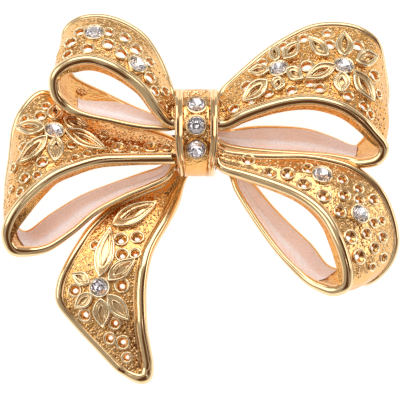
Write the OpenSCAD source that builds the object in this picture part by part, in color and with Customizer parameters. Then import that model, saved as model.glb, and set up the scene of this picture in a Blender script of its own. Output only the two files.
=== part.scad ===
// Bow brooch in gilt cast metal, lying on its back with the front face up.
// Four looped ribbons of pierced filigree and one tail are gathered in a barrel-shaped knot.
// X runs along the bow, Y up the bow and Z out of its front face. The origin is the middle of the
// brooch's outline, on the surface that it lies on.

/* [Bow] */
// Half side of the square that the ribbons' outlines are drawn in
draw_half = 28; // [24:0.5:34]
// Height that the ribbons' rims are shares of
bow_depth = 13; // [11:0.5:16]
// Angle off square-on at which the outlines are drawn, in degrees
draw_lean = 15; // [10:1:20]

/* [Ribbons] */
// Radius of the bead along a ribbon's near rim
near_bead_r = 0.8; // [0.6:0.05:0.9]
// Radius of the bead along a ribbon's far rim
far_bead_r = 0.5; // [0.4:0.05:0.6]
// Height of the ribbon's cross camber at mid width
camber = 0.35; // [0.2:0.05:0.5]
// Width below which a ribbon's beads are gathered thinner
gather_w = 5; // [4:0.5:6]
// Depth that a loop's near rim reaches below its bead, at the front band's widest
skirt = 1.1; // [0.6:0.1:1.4]

/* [Filigree] */
// Height of the flower petals above the ribbon
petal_rise = 0.55; // [0.3:0.05:0.7]
// Depth that petals and bezels are rooted in the ribbon
root_depth = 0.45; // [0.3:0.05:0.5]

/* [Knot] */
// Length of the knot along the bow
knot_w = 6; // [5.5:0.1:6.4]
// Radius of the knot's barrel
knot_r = 5.9; // [5.5:0.05:6]
// Wall of the knot
knot_wall = 0.85; // [0.7:0.05:0.95]
// Distance from the barrel's axis to the flat back of the knot
knot_back = 3.7; // [3.5:0.1:3.9]
// Height of the barrel's axis
knot_axis_z = 6.9; // [6.6:0.1:7.2]
// Height of the side ridges above the barrel
ridge_rise = 0.45; // [0.3:0.05:0.6]
// Length of each side ridge along the bow
ridge_w = 1.15; // [0.8:0.05:1.4]

/* [Stones] */
// Girdle radius of a stone
stone_r = 1.2; // [1:0.05:1.3]
// Height of a stone's crown above its girdle
crown_h = 0.5; // [0.4:0.05:0.7]
// Depth of a stone's pavilion under its girdle
pavilion_h = 0.5; // [0.4:0.05:0.6]
// Wall of a bezel
bezel_wall = 0.28; // [0.2:0.02:0.34]
// Height of a bezel above the metal that it stands on
bezel_h = 0.75; // [0.65:0.05:0.9]
// Gap between a stone and its bezel
stone_gap = 0.06; // [0.04:0.01:0.1]

/* [Enamel] */
// Thickness of the enamel
enamel_t = 0.3; // [0.2:0.05:0.4]
// Gap between the enamel and the metal under it
enamel_gap = 0.12; // [0.1:0.02:0.2]

/* [Pin] */
// Length of the pin's bar
bar_l = 22; // [19:1:23]
// Width of the pin's bar
bar_w = 2.6; // [2:0.1:3]
// Thickness of the pin's bar
bar_t = 0.7; // [0.6:0.05:0.8]
// Length of the pivot block and of the catch block
block_l = 2.4; // [2:0.1:3]
// Radius of the pin's stem
stem_r = 0.4; // [0.35:0.05:0.5]
// Gap between the pin's bar and the knot's back
bar_gap = 0.1; // [0.08:0.01:0.15]

/* [Hidden] */
gold = "#d9a441";
pink = "#f0c8c0";
clear = "#dfe6f2";

// Columns of a ribbon's section table. A row is one crossing of the ribbon, from its near rim, which
// stands highest, to its far rim. Across and up are shares of draw_half, heights shares of bow_depth.
NEAR_X = 0;
NEAR_Y = 1;
NEAR_Z = 2;
FAR_X = 3;
FAR_Y = 4;
FAR_Z = 5;

upper_left_rows = [
    [-0.145, 0.390, 0.77, -0.130, 0.560, 0.50],
    [-0.210, 0.455, 0.81, -0.155, 0.640, 0.50],
    [-0.275, 0.545, 0.85, -0.200, 0.740, 0.50],
    [-0.360, 0.615, 0.88, -0.275, 0.845, 0.52],
    [-0.450, 0.670, 0.92, -0.385, 0.915, 0.54],
    [-0.545, 0.700, 0.92, -0.500, 0.945, 0.54],
    [-0.630, 0.695, 0.91, -0.615, 0.930, 0.50],
    [-0.705, 0.665, 0.87, -0.690, 0.865, 0.44],
    [-0.760, 0.605, 0.80, -0.700, 0.750, 0.30],
    [-0.750, 0.505, 0.70, -0.695, 0.670, 0.14],
    [-0.685, 0.435, 0.64, -0.660, 0.620, 0.04],
    [-0.595, 0.395, 0.63, -0.600, 0.580, 0.12],
    [-0.475, 0.370, 0.62, -0.505, 0.535, 0.23],
    [-0.360, 0.345, 0.61, -0.405, 0.485, 0.31],
    [-0.250, 0.330, 0.61, -0.305, 0.440, 0.38],
    [-0.160, 0.335, 0.61, -0.205, 0.410, 0.46]];

upper_right_rows = [
    [0.120, 0.375, 0.77, 0.105, 0.565, 0.50],
    [0.205, 0.415, 0.81, 0.195, 0.655, 0.50],
    [0.315, 0.455, 0.85, 0.320, 0.760, 0.47],
    [0.430, 0.485, 0.88, 0.445, 0.840, 0.44],
    [0.540, 0.495, 0.91, 0.570, 0.895, 0.43],
    [0.640, 0.480, 0.91, 0.700, 0.905, 0.43],
    [0.735, 0.445, 0.88, 0.815, 0.880, 0.41],
    [0.820, 0.385, 0.83, 0.900, 0.810, 0.36],
    [0.885, 0.320, 0.75, 0.935, 0.675, 0.28],
    [0.940, 0.245, 0.65, 0.945, 0.525, 0.17],
    [0.910, 0.170, 0.55, 0.915, 0.410, 0.08],
    [0.815, 0.150, 0.49, 0.810, 0.305, 0.05],
    [0.725, 0.170, 0.45, 0.750, 0.260, 0.05],
    [0.625, 0.190, 0.42, 0.645, 0.310, 0.07],
    [0.500, 0.200, 0.41, 0.525, 0.345, 0.14],
    [0.350, 0.210, 0.42, 0.375, 0.360, 0.25],
    [0.225, 0.225, 0.43, 0.250, 0.360, 0.32],
    [0.135, 0.245, 0.45, 0.150, 0.345, 0.36]];

lower_left_rows = [
    [-0.145, 0.210, 0.65, -0.140, 0.330, 0.42],
    [-0.240, 0.210, 0.66, -0.250, 0.370, 0.33],
    [-0.375, 0.210, 0.69, -0.400, 0.400, 0.26],
    [-0.510, 0.200, 0.74, -0.540, 0.460, 0.22],
    [-0.635, 0.160, 0.79, -0.670, 0.515, 0.23],
    [-0.745, 0.105, 0.82, -0.795, 0.565, 0.30],
    [-0.835, 0.040, 0.82, -0.890, 0.490, 0.32],
    [-0.915, -0.035, 0.79, -0.945, 0.380, 0.28],
    [-0.970, -0.125, 0.72, -0.965, 0.225, 0.21],
    [-0.990, -0.205, 0.63, -0.985, 0.075, 0.13],
    [-0.950, -0.280, 0.54, -0.980, -0.040, 0.07],
    [-0.860, -0.295, 0.46, -0.930, -0.115, 0.05],
    [-0.745, -0.270, 0.41, -0.855, -0.175, 0.05],
    [-0.620, -0.185, 0.38, -0.745, -0.090, 0.05],
    [-0.500, -0.085, 0.37, -0.595, 0.000, 0.06],
    [-0.360, -0.010, 0.36, -0.445, 0.060, 0.10],
    [-0.240, 0.045, 0.36, -0.305, 0.115, 0.17],
    [-0.150, 0.100, 0.37, -0.180, 0.170, 0.27]];

lower_right_rows = [
    [0.110, 0.155, 0.68, 0.110, 0.265, 0.64],
    [0.220, 0.120, 0.72, 0.240, 0.250, 0.59],
    [0.350, 0.080, 0.77, 0.375, 0.245, 0.57],
    [0.475, 0.030, 0.81, 0.515, 0.245, 0.55],
    [0.565, -0.030, 0.84, 0.650, 0.225, 0.54],
    [0.635, -0.105, 0.86, 0.775, 0.185, 0.51],
    [0.680, -0.190, 0.86, 0.890, 0.100, 0.46],
    [0.715, -0.280, 0.83, 0.965, -0.020, 0.40],
    [0.735, -0.375, 0.77, 1.005, -0.190, 0.32],
    [0.725, -0.455, 0.68, 0.975, -0.320, 0.22],
    [0.655, -0.490, 0.57, 0.885, -0.405, 0.11],
    [0.580, -0.465, 0.49, 0.725, -0.385, 0.05],
    [0.505, -0.420, 0.43, 0.630, -0.345, 0.05],
    [0.405, -0.320, 0.40, 0.550, -0.240, 0.06],
    [0.320, -0.215, 0.38, 0.445, -0.140, 0.08],
    [0.235, -0.090, 0.37, 0.355, -0.045, 0.14],
    [0.165, 0.035, 0.37, 0.275, 0.060, 0.22],
    [0.135, 0.125, 0.38, 0.200, 0.145, 0.30]];

// The tail's near rim is its left one and the far rim its right one.
tail_rows = [
    [-0.120, 0.160, 0.20, -0.040, 0.160, 0.20],
    [-0.185, 0.065, 0.19, -0.075, 0.090, 0.19],
    [-0.300, 0.030, 0.20, -0.100, 0.000, 0.24],
    [-0.440, -0.045, 0.23, -0.150, -0.095, 0.33],
    [-0.550, -0.130, 0.29, -0.205, -0.185, 0.41],
    [-0.625, -0.210, 0.34, -0.240, -0.260, 0.47],
    [-0.680, -0.315, 0.37, -0.260, -0.350, 0.50],
    [-0.720, -0.415, 0.36, -0.270, -0.450, 0.49],
    [-0.720, -0.510, 0.32, -0.270, -0.560, 0.46],
    [-0.640, -0.615, 0.27, -0.265, -0.660, 0.41],
    [-0.525, -0.740, 0.24, -0.250, -0.735, 0.35],
    [-0.425, -0.845, 0.22, -0.235, -0.805, 0.29],
    [-0.360, -0.890, 0.21, -0.230, -0.850, 0.26],
    [-0.310, -0.920, 0.21, -0.245, -0.895, 0.24]];

// Where each loop's two ends lie inside the knot. Up and height are shares of the hollow's radius, off
// its axis: near rim up, near rim height, far rim up, far rim height.
upper_front_root = [0.11, 0.66, 0.70, 0.27];
upper_left_back_root = [0.00, 0.21, 0.45, -0.08];
lower_left_front_root = [-0.78, 0.27, -0.10, -0.17];
lower_left_back_root = [-0.78, -0.37, -0.37, -0.46];
upper_right_back_root = [-0.33, -0.15, 0.12, -0.40];
lower_right_front_root = [-0.72, 0.27, -0.20, 0.50];
lower_right_back_root = [-0.76, -0.37, -0.44, -0.48];
// Stations of a root along the knot, as shares of its half length from its middle
root_stations = [0.16, 0.85];

// Columns of the tables of piercings: across, up, and the radius, as shares of draw_half.
upper_left_gaps = [
    [-0.650, 0.790, 0.027], [-0.670, 0.720, 0.022], [-0.603, 0.845, 0.022], [-0.563, 0.765, 0.027],
    [-0.458, 0.843, 0.022], [-0.458, 0.783, 0.027], [-0.375, 0.815, 0.024], [-0.390, 0.735, 0.028],
    [-0.320, 0.753, 0.027], [-0.253, 0.690, 0.022], [-0.248, 0.615, 0.026], [-0.225, 0.533, 0.022],
    [-0.175, 0.543, 0.020], [-0.178, 0.475, 0.024]];

upper_right_gaps = [
    [0.650, 0.780, 0.025], [0.535, 0.670, 0.029], [0.235, 0.570, 0.025], [0.165, 0.460, 0.022],
    [0.455, 0.555, 0.022], [0.600, 0.565, 0.022], [0.310, 0.690, 0.022], [0.420, 0.775, 0.022],
    [0.520, 0.815, 0.022], [0.640, 0.840, 0.018], [0.795, 0.775, 0.025], [0.340, 0.540, 0.020],
    [0.550, 0.590, 0.020], [0.745, 0.525, 0.022], [0.825, 0.475, 0.022], [0.875, 0.625, 0.025],
    [0.860, 0.430, 0.020], [0.250, 0.500, 0.018], [0.850, 0.735, 0.018], [0.895, 0.530, 0.018]];

lower_left_gaps = [
    [-0.800, 0.425, 0.024], [-0.885, 0.410, 0.017], [-0.770, 0.475, 0.017], [-0.880, 0.265, 0.022],
    [-0.790, 0.195, 0.024], [-0.880, 0.115, 0.024], [-0.815, 0.130, 0.019], [-0.905, 0.045, 0.019],
    [-0.935, 0.160, 0.019], [-0.950, 0.055, 0.014], [-0.640, 0.280, 0.019], [-0.620, 0.215, 0.022],
    [-0.560, 0.240, 0.019], [-0.480, 0.330, 0.019], [-0.405, 0.270, 0.030], [-0.325, 0.260, 0.022],
    [-0.245, 0.270, 0.030], [-0.165, 0.265, 0.017]];

lower_right_gaps = [
    [0.240, 0.203, 0.028], [0.345, 0.140, 0.030], [0.438, 0.135, 0.030], [0.540, 0.160, 0.024],
    [0.520, 0.085, 0.029], [0.620, 0.025, 0.030], [0.713, 0.105, 0.022], [0.720, 0.025, 0.026],
    [0.795, 0.060, 0.021], [0.795, 0.003, 0.023], [0.870, 0.005, 0.022], [0.700, -0.053, 0.026],
    [0.755, -0.180, 0.031], [0.830, -0.165, 0.022], [0.868, -0.113, 0.021], [0.910, -0.100, 0.017],
    [0.915, -0.185, 0.023], [0.800, -0.280, 0.032], [0.870, -0.238, 0.024], [0.920, -0.288, 0.020],
    [0.860, -0.333, 0.015]];

tail_gaps = [
    [-0.395, -0.195, 0.030], [-0.315, -0.180, 0.028], [-0.390, -0.270, 0.028], [-0.325, -0.260, 0.022],
    [-0.525, -0.225, 0.020], [-0.625, -0.450, 0.026], [-0.390, -0.425, 0.030],
    [-0.575, -0.575, 0.026], [-0.450, -0.690, 0.024], [-0.385, -0.710, 0.028], [-0.425, -0.615, 0.024],
    [-0.365, -0.785, 0.020]];

// Columns of the tables of petals: root across and up, tip across and up, and width, as shares of
// draw_half.
upper_right_petals = [
    [0.720, 0.710, 0.720, 0.835, 0.065], [0.630, 0.715, 0.560, 0.790, 0.050],
    [0.670, 0.670, 0.520, 0.620, 0.060], [0.705, 0.620, 0.710, 0.535, 0.065],
    [0.785, 0.640, 0.855, 0.485, 0.050], [0.775, 0.700, 0.890, 0.725, 0.065],
    [0.375, 0.690, 0.370, 0.765, 0.040], [0.420, 0.700, 0.495, 0.790, 0.060],
    [0.430, 0.650, 0.495, 0.610, 0.050], [0.375, 0.610, 0.385, 0.550, 0.060],
    [0.340, 0.650, 0.210, 0.630, 0.050], [0.340, 0.590, 0.200, 0.485, 0.055]];

lower_left_petals = [
    [-0.775, 0.380, -0.925, 0.335, 0.060], [-0.775, 0.310, -0.890, 0.175, 0.055],
    [-0.715, 0.305, -0.715, 0.185, 0.060], [-0.660, 0.350, -0.465, 0.275, 0.050],
    [-0.685, 0.420, -0.570, 0.360, 0.050], [-0.720, 0.410, -0.720, 0.480, 0.055]];

tail_petals = [
    [-0.510, -0.380, -0.440, -0.125, 0.085], [-0.460, -0.390, -0.330, -0.285, 0.065],
    [-0.440, -0.460, -0.350, -0.590, 0.060], [-0.490, -0.500, -0.480, -0.650, 0.065],
    [-0.545, -0.450, -0.615, -0.535, 0.050], [-0.540, -0.420, -0.640, -0.365, 0.045],
    [-0.450, -0.140, -0.225, -0.015, 0.080]];

// Places of the ribbons' stones, across and up, as shares of draw_half.
upper_left_outer_at = [-0.530, 0.835];
upper_left_inner_at = [-0.313, 0.680];
upper_right_outer_at = [0.720, 0.670];
upper_right_inner_at = [0.395, 0.655];
lower_left_at = [-0.730, 0.345];
lower_right_inner_at = [0.610, 0.125];
lower_right_outer_at = [0.795, -0.070];
tail_at = [-0.500, -0.4375];

// The middle of the knot, across and up, as shares of draw_half
knot_at = [-0.0175, 0.3375];
// Turn of each knot stone round the barrel's axis from straight out, positive towards the top
knot_stone_turns = [22, -6, -36];

// Rings that a ribbon is swept through, and those of a loop that lie on its front face
ring_count = 36;
front_rings = 20;
// Points of a bead's section, as angles round it
bead_angles = [25, 100, 180, 260, 335];
// Which of those points the skirt hangs from
skirt_point = 3;
// First and last ring of a loop's near rim that have a skirt, which is deepest half way between them
skirt_rings = [2, 19];
// Share of a ribbon's width past its rims in which a drawn point still counts as on it
rim_reach = 0.2;
// Sides and facets
gap_sides = 8;
petal_sides = 6;
petal_end_sides = 3;
bezel_sides = 16;
table_sides = 8;
barrel_sides = 80;
knot_bezel_sides = 32;
stem_sides = 24;

// A gap's cut: half its length, how much wider it is at the face, and the discs at its two ends
gap_reach = 1.3;
gap_flare = 1.15;
gap_disc_h = 0.1;
// Shares of a petal's half width that its root and its tip have
petal_root_share = 0.33;
petal_tip_share = 0.25;
// Share of a stone's radius that its table takes
table_share = 0.58;
// Height of a bezel's rim above the stone's girdle
bezel_lip = 0.2;
knot_bezel_h = 0.45;
// Length of the cut for a bezel's well
well_h = 3;
// First and last ring of the enamel on a loop's back band
enamel_rings = [20, 31];
upper_left_enamel_rings = [21, 31];
// Lift of the pin's stem above the surface, and the bar's place below the knot's middle
stem_lift = 0.55;
bar_drop = -0.6;

knot_hollow_r = knot_r - knot_wall;
bezel_r = stone_r + stone_gap + bezel_wall;
// Heights above the metal: a stone's girdle in its bezel, and the floor of the well under it
girdle = bezel_h - bezel_lip;
well_floor = girdle - pavilion_h - stone_gap;
knot_girdle = knot_bezel_h - bezel_lip;
knot_well_floor = knot_girdle - pavilion_h - stone_gap;
LEFT = -1;
RIGHT = 1;

function lifted(x, y, z) = [x * draw_half,
    (y * draw_half - z * bow_depth * sin(draw_lean)) / cos(draw_lean), z * bow_depth];
function knot_centre() = [knot_at[0] * draw_half,
    (knot_at[1] * draw_half - knot_axis_z * sin(draw_lean)) / cos(draw_lean), knot_axis_z];
function unit(v) = v / norm(v);
function mix(a, b, f) = a + (b - a) * f;

// A crossing is a pair: the near rim's point and the far rim's point.
function crossing(row) = [lifted(row[NEAR_X], row[NEAR_Y], row[NEAR_Z]),
    lifted(row[FAR_X], row[FAR_Y], row[FAR_Z])];
function root_crossing(root, side, station) = let (
        x = side * station * knot_w / 2)
    [knot_centre() + [x, root[0] * knot_hollow_r, root[1] * knot_hollow_r],
        knot_centre() + [x, root[2] * knot_hollow_r, root[3] * knot_hollow_r]];
function loop_crossings(rows, front_root, back_root, side) = concat(
    [for (s = root_stations) root_crossing(front_root, side, s)],
    [for (row = rows) crossing(row)],
    [root_crossing(back_root, side, root_stations[1]), root_crossing(back_root, side, root_stations[0])]);

// Catmull-Rom curve through the list p at t, which counts in its points
function along(p, t) = let (
        last = len(p) - 1,
        i = min(floor(t), last - 1),
        f = t - i,
        a = p[max(i - 1, 0)],
        b = p[i],
        c = p[i + 1],
        d = p[min(i + 2, last)])
    b + f / 2 * (c - a + f * (2 * a - 5 * b + 4 * c - d + f * (3 * (b - c) + d - a)));
function rings(crossings) = [for (i = [0 : ring_count - 1])
    along(crossings, i * (len(crossings) - 1) / (ring_count - 1))];

// The frame of a ring: across the ribbon, outwards from its face, and along it
function across(ring) = unit(ring[1] - ring[0]);
function heading(list, i) = let (
        a = list[max(i - 1, 0)],
        b = list[min(i + 1, len(list) - 1)])
    unit(b[0] + b[1] - a[0] - a[1]);
function outwards(list, i, side) = unit(side * cross(heading(list, i), across(list[i])));

// Depth of the skirt under the near bead at ring i
function skirt_at(i) = i < skirt_rings[0] || i > skirt_rings[1] ? 0
    : skirt * sin(180 * (i - skirt_rings[0]) / (skirt_rings[1] - skirt_rings[0]));
// The closed outline of a ribbon's cross-section: a bead with its skirt, the camber, the other bead and
// the inner face
function outline(w, drop) = let (
        thin = min(1, w / gather_w),
        n = near_bead_r * thin,
        f = far_bead_r * thin,
        rise = camber * thin)
    concat(
        [for (k = [0 : len(bead_angles) - 1]) let (
                a = bead_angles[k])
            [n * (1 + cos(a)), n * (sin(a) - 1) - (k == skirt_point ? drop : 0)]],
        [[w / 2, rise - (n + f) / 2 * (1 + sin(bead_angles[0]))]],
        [for (a = bead_angles) [w - f * (1 - cos(a + 180)), f * (sin(a + 180) - 1)]],
        [[w / 2, rise - (n + f) / 2 * (1 - sin(bead_angles[0]))]]);
function skin(list, side, skirted) = [for (i = [0 : len(list) - 1]) let (
        w = across(list[i]),
        up = outwards(list, i, side),
        drop = skirted ? skirt_at(i) : 0)
    for (q = outline(norm(list[i][1] - list[i][0]), drop)) list[i][0] + w * q[0] + up * q[1]];

module sweep(points, sides, count, side) {
    walls = [for (i = [0 : count - 2]) for (j = [0 : sides - 1]) let (
            a = i * sides + j,
            b = i * sides + (j + 1) % sides)
        for (f = side < 0 ? [[a, b, b + sides], [a, b + sides, a + sides]]
                : [[a, b + sides, b], [a, a + sides, b + sides]]) f];
    caps = [for (f = [[for (j = [0 : sides - 1]) sides - 1 - j],
            [for (j = [0 : sides - 1]) (count - 1) * sides + j]])
        side < 0 ? f : [for (k = [len(f) - 1 : -1 : 0]) f[k]]];
    polyhedron(points, concat(walls, caps), convexity = 10);
}

upper_left = rings(loop_crossings(upper_left_rows, upper_front_root, upper_left_back_root, LEFT));
upper_right = rings(loop_crossings(upper_right_rows, upper_front_root, upper_right_back_root, RIGHT));
lower_left = rings(loop_crossings(lower_left_rows, lower_left_front_root, lower_left_back_root, LEFT));
lower_right = rings(loop_crossings(lower_right_rows, lower_right_front_root, lower_right_back_root, RIGHT));
tail_line = rings([for (row = tail_rows) crossing(row)]);

// The brooch's origin: the middle of the ribbons' outline, at their lowest point
all_points = concat(skin(upper_left, LEFT, true), skin(upper_right, RIGHT, true),
    skin(lower_left, LEFT, true), skin(lower_right, RIGHT, true), skin(tail_line, RIGHT, false));
xs = [for (p = all_points) p[0]];
ys = [for (p = all_points) p[1]];
low_z = min([for (p = all_points) p[2]]);
origin = [(min(xs) + max(xs)) / 2, (min(ys) + max(ys)) / 2, low_z];

// The place on a ribbon's face that is drawn at a point. It is a frame: the point, and the directions
// across the ribbon, along it and outwards.
function drawn(p) = [p[0], p[1] * cos(draw_lean) + p[2] * sin(draw_lean)];
function off_ring(ring, at) = let (
        a = drawn(ring[0]),
        b = drawn(ring[1]))
    cross(b - a, at - a) / norm(b - a);
function share_across(ring, at) = let (
        a = drawn(ring[0]),
        b = drawn(ring[1]))
    (at - a) * (b - a) / ((b - a) * (b - a));
function ring_at(list, t) = let (i = floor(t)) mix(list[i], list[i + 1], t - i);
// Where the rings up to the last one pass over a drawn point
function stations(list, last, at) = [for (i = [0 : last - 1]) let (
        u = off_ring(list[i], at),
        v = off_ring(list[i + 1], at))
    if (u * v <= 0) let (
        t = i + u / (u - v),
        s = share_across(ring_at(list, t), at))
    if (s > -rim_reach && s < 1 + rim_reach) t];
// The beads' flanks: shares of a bead's radius that its first point lies below its crest, seen from the
// face and from the inside
FACE = 1 - sin(bead_angles[0]);
INSIDE = 1 + sin(bead_angles[0]);
// How far a bead reaches across a ribbon of width w
function bead_edge(w, r) = r * min(1, w / gather_w) * (1 + cos(bead_angles[0]));
// Height of the metal between the beads at a length q across a ribbon of width w
function web_height(w, q, flank) = let (
        thin = min(1, w / gather_w),
        low = bead_edge(w, near_bead_r),
        high = w - bead_edge(w, far_bead_r),
        crest = camber * thin - (near_bead_r + far_bead_r) / 2 * thin * flank)
    q < w / 2 ? mix(-near_bead_r * thin * flank, crest, max(0, (q - low) / (w / 2 - low)))
        : mix(crest, -far_bead_r * thin * flank, min(1, (q - w / 2) / (high - w / 2)));
function place(list, side, last, share) = let (
        at = share * draw_half,
        t = stations(list, last, at)[0],
        i = floor(t),
        ring = ring_at(list, t),
        s = share_across(ring, at),
        up = unit(mix(outwards(list, i, side), outwards(list, i + 1, side), t - i)),
        w = across(ring),
        l = norm(ring[1] - ring[0]),
        line = unit(cross(up, w)))
    [ring[0] + w * l * s + up * web_height(l, l * s, FACE),
        unit(cross(line, up)), line, up];
module on(f) {
    multmatrix([[f[1][0], f[2][0], f[3][0], f[0][0]], [f[1][1], f[2][1], f[3][1], f[0][1]],
        [f[1][2], f[2][2], f[3][2], f[0][2]]]) children();
}
module settled() {
    translate(-origin) children();
}

// One ribbon: the swept band, its petals and bezels, less its gaps and the bezels' wells
module ribbon(list, side, last, skirted, gaps, petals, stones) {
    difference() {
        union() {
            sweep(skin(list, side, skirted), len(outline(1, 0)), ring_count, side);
            for (p = petals) petal(list, side, last, p);
            for (s = stones) on(place(list, side, last, s)) translate([0, 0, -root_depth])
                cylinder(h = root_depth + bezel_h, r = bezel_r, $fn = bezel_sides);
        }
        for (g = gaps) on(place(list, side, last, [g[0], g[1]])) gap(g[2] * draw_half);
        for (s = stones) on(place(list, side, last, s)) translate([0, 0, well_floor])
            cylinder(h = well_h, r = stone_r + stone_gap, $fn = bezel_sides);
    }
}
module gap(r) {
    hull() {
        translate([0, 0, gap_reach]) cylinder(h = gap_disc_h, r = r * gap_flare, $fn = gap_sides);
        translate([0, 0, -gap_reach]) cylinder(h = gap_disc_h, r = r, $fn = gap_sides);
    }
}
module petal(list, side, last, row) {
    root = [row[0], row[1]];
    tip = [row[2], row[3]];
    r = row[4] * draw_half / 2;
    hull() {
        on(place(list, side, last, root)) translate([0, 0, -root_depth])
            cylinder(h = root_depth + petal_rise / 2, r = r * petal_root_share, $fn = petal_end_sides);
        on(place(list, side, last, mix(root, tip, 0.5))) translate([0, 0, -root_depth])
            cylinder(h = root_depth + petal_rise, r = r, $fn = petal_sides);
        on(place(list, side, last, tip)) translate([0, 0, -root_depth])
            cylinder(h = root_depth + petal_rise / 2, r = r * petal_tip_share, $fn = petal_end_sides);
    }
}

module loop_upper_left() {
    color(gold) settled() ribbon(upper_left, LEFT, front_rings, true, upper_left_gaps, [],
        [upper_left_outer_at, upper_left_inner_at]);
}
module loop_upper_right() {
    color(gold) settled() ribbon(upper_right, RIGHT, front_rings, true, upper_right_gaps, upper_right_petals,
        [upper_right_outer_at, upper_right_inner_at]);
}
module loop_lower_left() {
    color(gold) settled() ribbon(lower_left, LEFT, front_rings, true, lower_left_gaps, lower_left_petals,
        [lower_left_at]);
}
module loop_lower_right() {
    color(gold) settled() ribbon(lower_right, RIGHT, front_rings, true, lower_right_gaps, [],
        [lower_right_inner_at, lower_right_outer_at]);
}
module tail() {
    color(gold) settled() ribbon(tail_line, RIGHT, ring_count - 1, false, tail_gaps, tail_petals, [tail_at]);
}

// The knot's section in its Y and Z: a barrel of radius r with a flat back
module barrel(r, back) {
    intersection() {
        circle(r = r, $fn = barrel_sides);
        translate([-2 * r, -back]) square([4 * r, 4 * r]);
    }
}
module along_bow(length) {
    rotate([90, 0, 90]) linear_extrude(height = length, center = true) children();
}
function knot_stone(turn) = [knot_centre() + knot_r * [0, sin(turn), cos(turn)],
    [1, 0, 0], [0, cos(turn), -sin(turn)], [0, sin(turn), cos(turn)]];
module knot() {
    color(gold) settled() difference() {
        union() {
            translate(knot_centre()) difference() {
                union() {
                    along_bow(knot_w) barrel(knot_r, knot_back);
                    for (s = [-1, 1]) translate([s * (knot_w - ridge_w) / 2, 0, 0]) along_bow(ridge_w)
                        barrel(knot_r + ridge_rise, knot_back);
                }
                along_bow(knot_w + 1) barrel(knot_hollow_r, knot_back - knot_wall);
            }
            for (turn = knot_stone_turns) on(knot_stone(turn)) translate([0, 0, -knot_wall / 2])
                cylinder(h = knot_wall / 2 + knot_bezel_h, r = bezel_r, $fn = knot_bezel_sides);
        }
        for (turn = knot_stone_turns) on(knot_stone(turn)) translate([0, 0, knot_well_floor])
            cylinder(h = well_h, r = stone_r + stone_gap, $fn = knot_bezel_sides);
    }
}

// A round cut stone, its girdle at z 0: an eight-sided table, three crown facets to each of its sides,
// and a pavilion facet to each side of the girdle
function round_about(r, a, z) = [r * cos(a), r * sin(a), z];
module stone() {
    n = table_sides;
    m = 2 * n;
    table = [for (i = [0 : n - 1]) round_about(stone_r * table_share, (i + 0.5) * 360 / n, crown_h)];
    edge = [for (i = [0 : m - 1]) round_about(stone_r, i * 360 / m, 0)];
    crown = [for (i = [0 : n - 1]) let (
            e = n + 2 * i,
            next = n + (2 * i + 2) % m)
        for (f = [[i, e + 1, e], [i, next, e + 1], [i, (i + 1) % n, next]]) f];
    pavilion = [for (i = [0 : m - 1]) [n + i, n + (i + 1) % m, n + m]];
    polyhedron(concat(table, edge, [[0, 0, -pavilion_h]]),
        concat([[for (i = [0 : n - 1]) n - 1 - i]], crown, pavilion));
}
module set_stone(f, height) {
    color(clear) settled() on(f) translate([0, 0, height]) stone();
}
module stone_knot_top() {
    set_stone(knot_stone(knot_stone_turns[0]), knot_girdle);
}
module stone_knot_middle() {
    set_stone(knot_stone(knot_stone_turns[1]), knot_girdle);
}
module stone_knot_bottom() {
    set_stone(knot_stone(knot_stone_turns[2]), knot_girdle);
}
module stone_upper_left_outer() {
    set_stone(place(upper_left, LEFT, front_rings, upper_left_outer_at), girdle);
}
module stone_upper_left_inner() {
    set_stone(place(upper_left, LEFT, front_rings, upper_left_inner_at), girdle);
}
module stone_upper_right_outer() {
    set_stone(place(upper_right, RIGHT, front_rings, upper_right_outer_at), girdle);
}
module stone_upper_right_inner() {
    set_stone(place(upper_right, RIGHT, front_rings, upper_right_inner_at), girdle);
}
module stone_lower_left() {
    set_stone(place(lower_left, LEFT, front_rings, lower_left_at), girdle);
}
module stone_lower_right_outer() {
    set_stone(place(lower_right, RIGHT, front_rings, lower_right_outer_at), girdle);
}
module stone_lower_right_inner() {
    set_stone(place(lower_right, RIGHT, front_rings, lower_right_inner_at), girdle);
}
module stone_tail() {
    set_stone(place(tail_line, RIGHT, ring_count - 1, tail_at), girdle);
}

// Enamel laid in the hollow of a back band's inner face, from the first to the last ring of span. Its
// section has three points on its face and three on the metal's side.
module enamel(list, side, span) {
    points = [for (i = [span[0] : span[1]]) let (
            w = across(list[i]),
            up = outwards(list, i, side),
            l = norm(list[i][1] - list[i][0]),
            low = bead_edge(l, near_bead_r) + enamel_gap,
            high = l - bead_edge(l, far_bead_r) - enamel_gap,
            mid = (low + high) / 2)
        for (q = [[low, enamel_t], [mid, enamel_t], [high, enamel_t], [high, 0], [mid, 0], [low, 0]])
            list[i][0] + w * q[0] + up * (web_height(l, q[0], INSIDE) - enamel_gap - q[1])];
    count = span[1] - span[0] + 1;
    color(pink) settled() sweep(points, len(points) / count, count, side);
}
module enamel_upper_left() {
    enamel(upper_left, LEFT, upper_left_enamel_rings);
}
module enamel_upper_right() {
    enamel(upper_right, RIGHT, enamel_rings);
}
module enamel_lower_left() {
    enamel(lower_left, LEFT, enamel_rings);
}
module enamel_lower_right() {
    enamel(lower_right, RIGHT, enamel_rings);
}

// The pin as one piece: the bar behind the knot, its two blocks on the surface, and the stem between them
module brooch_pin() {
    c = knot_centre() + [0, bar_drop, 0];
    top = knot_axis_z - knot_back - bar_gap;
    color(gold) settled() union() {
        translate([c[0] - bar_l / 2, c[1] - bar_w / 2, top - bar_t]) cube([bar_l, bar_w, bar_t]);
        for (x = [c[0] - bar_l / 2, c[0] + bar_l / 2 - block_l])
            translate([x, c[1] - bar_w / 2, low_z]) cube([block_l, bar_w, top - low_z]);
        translate([c[0] - bar_l / 2 + block_l / 2, c[1], low_z + stem_lift]) rotate([0, 90, 0])
            cylinder(h = bar_l - block_l, r = stem_r, $fn = stem_sides);
    }
}

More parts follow.
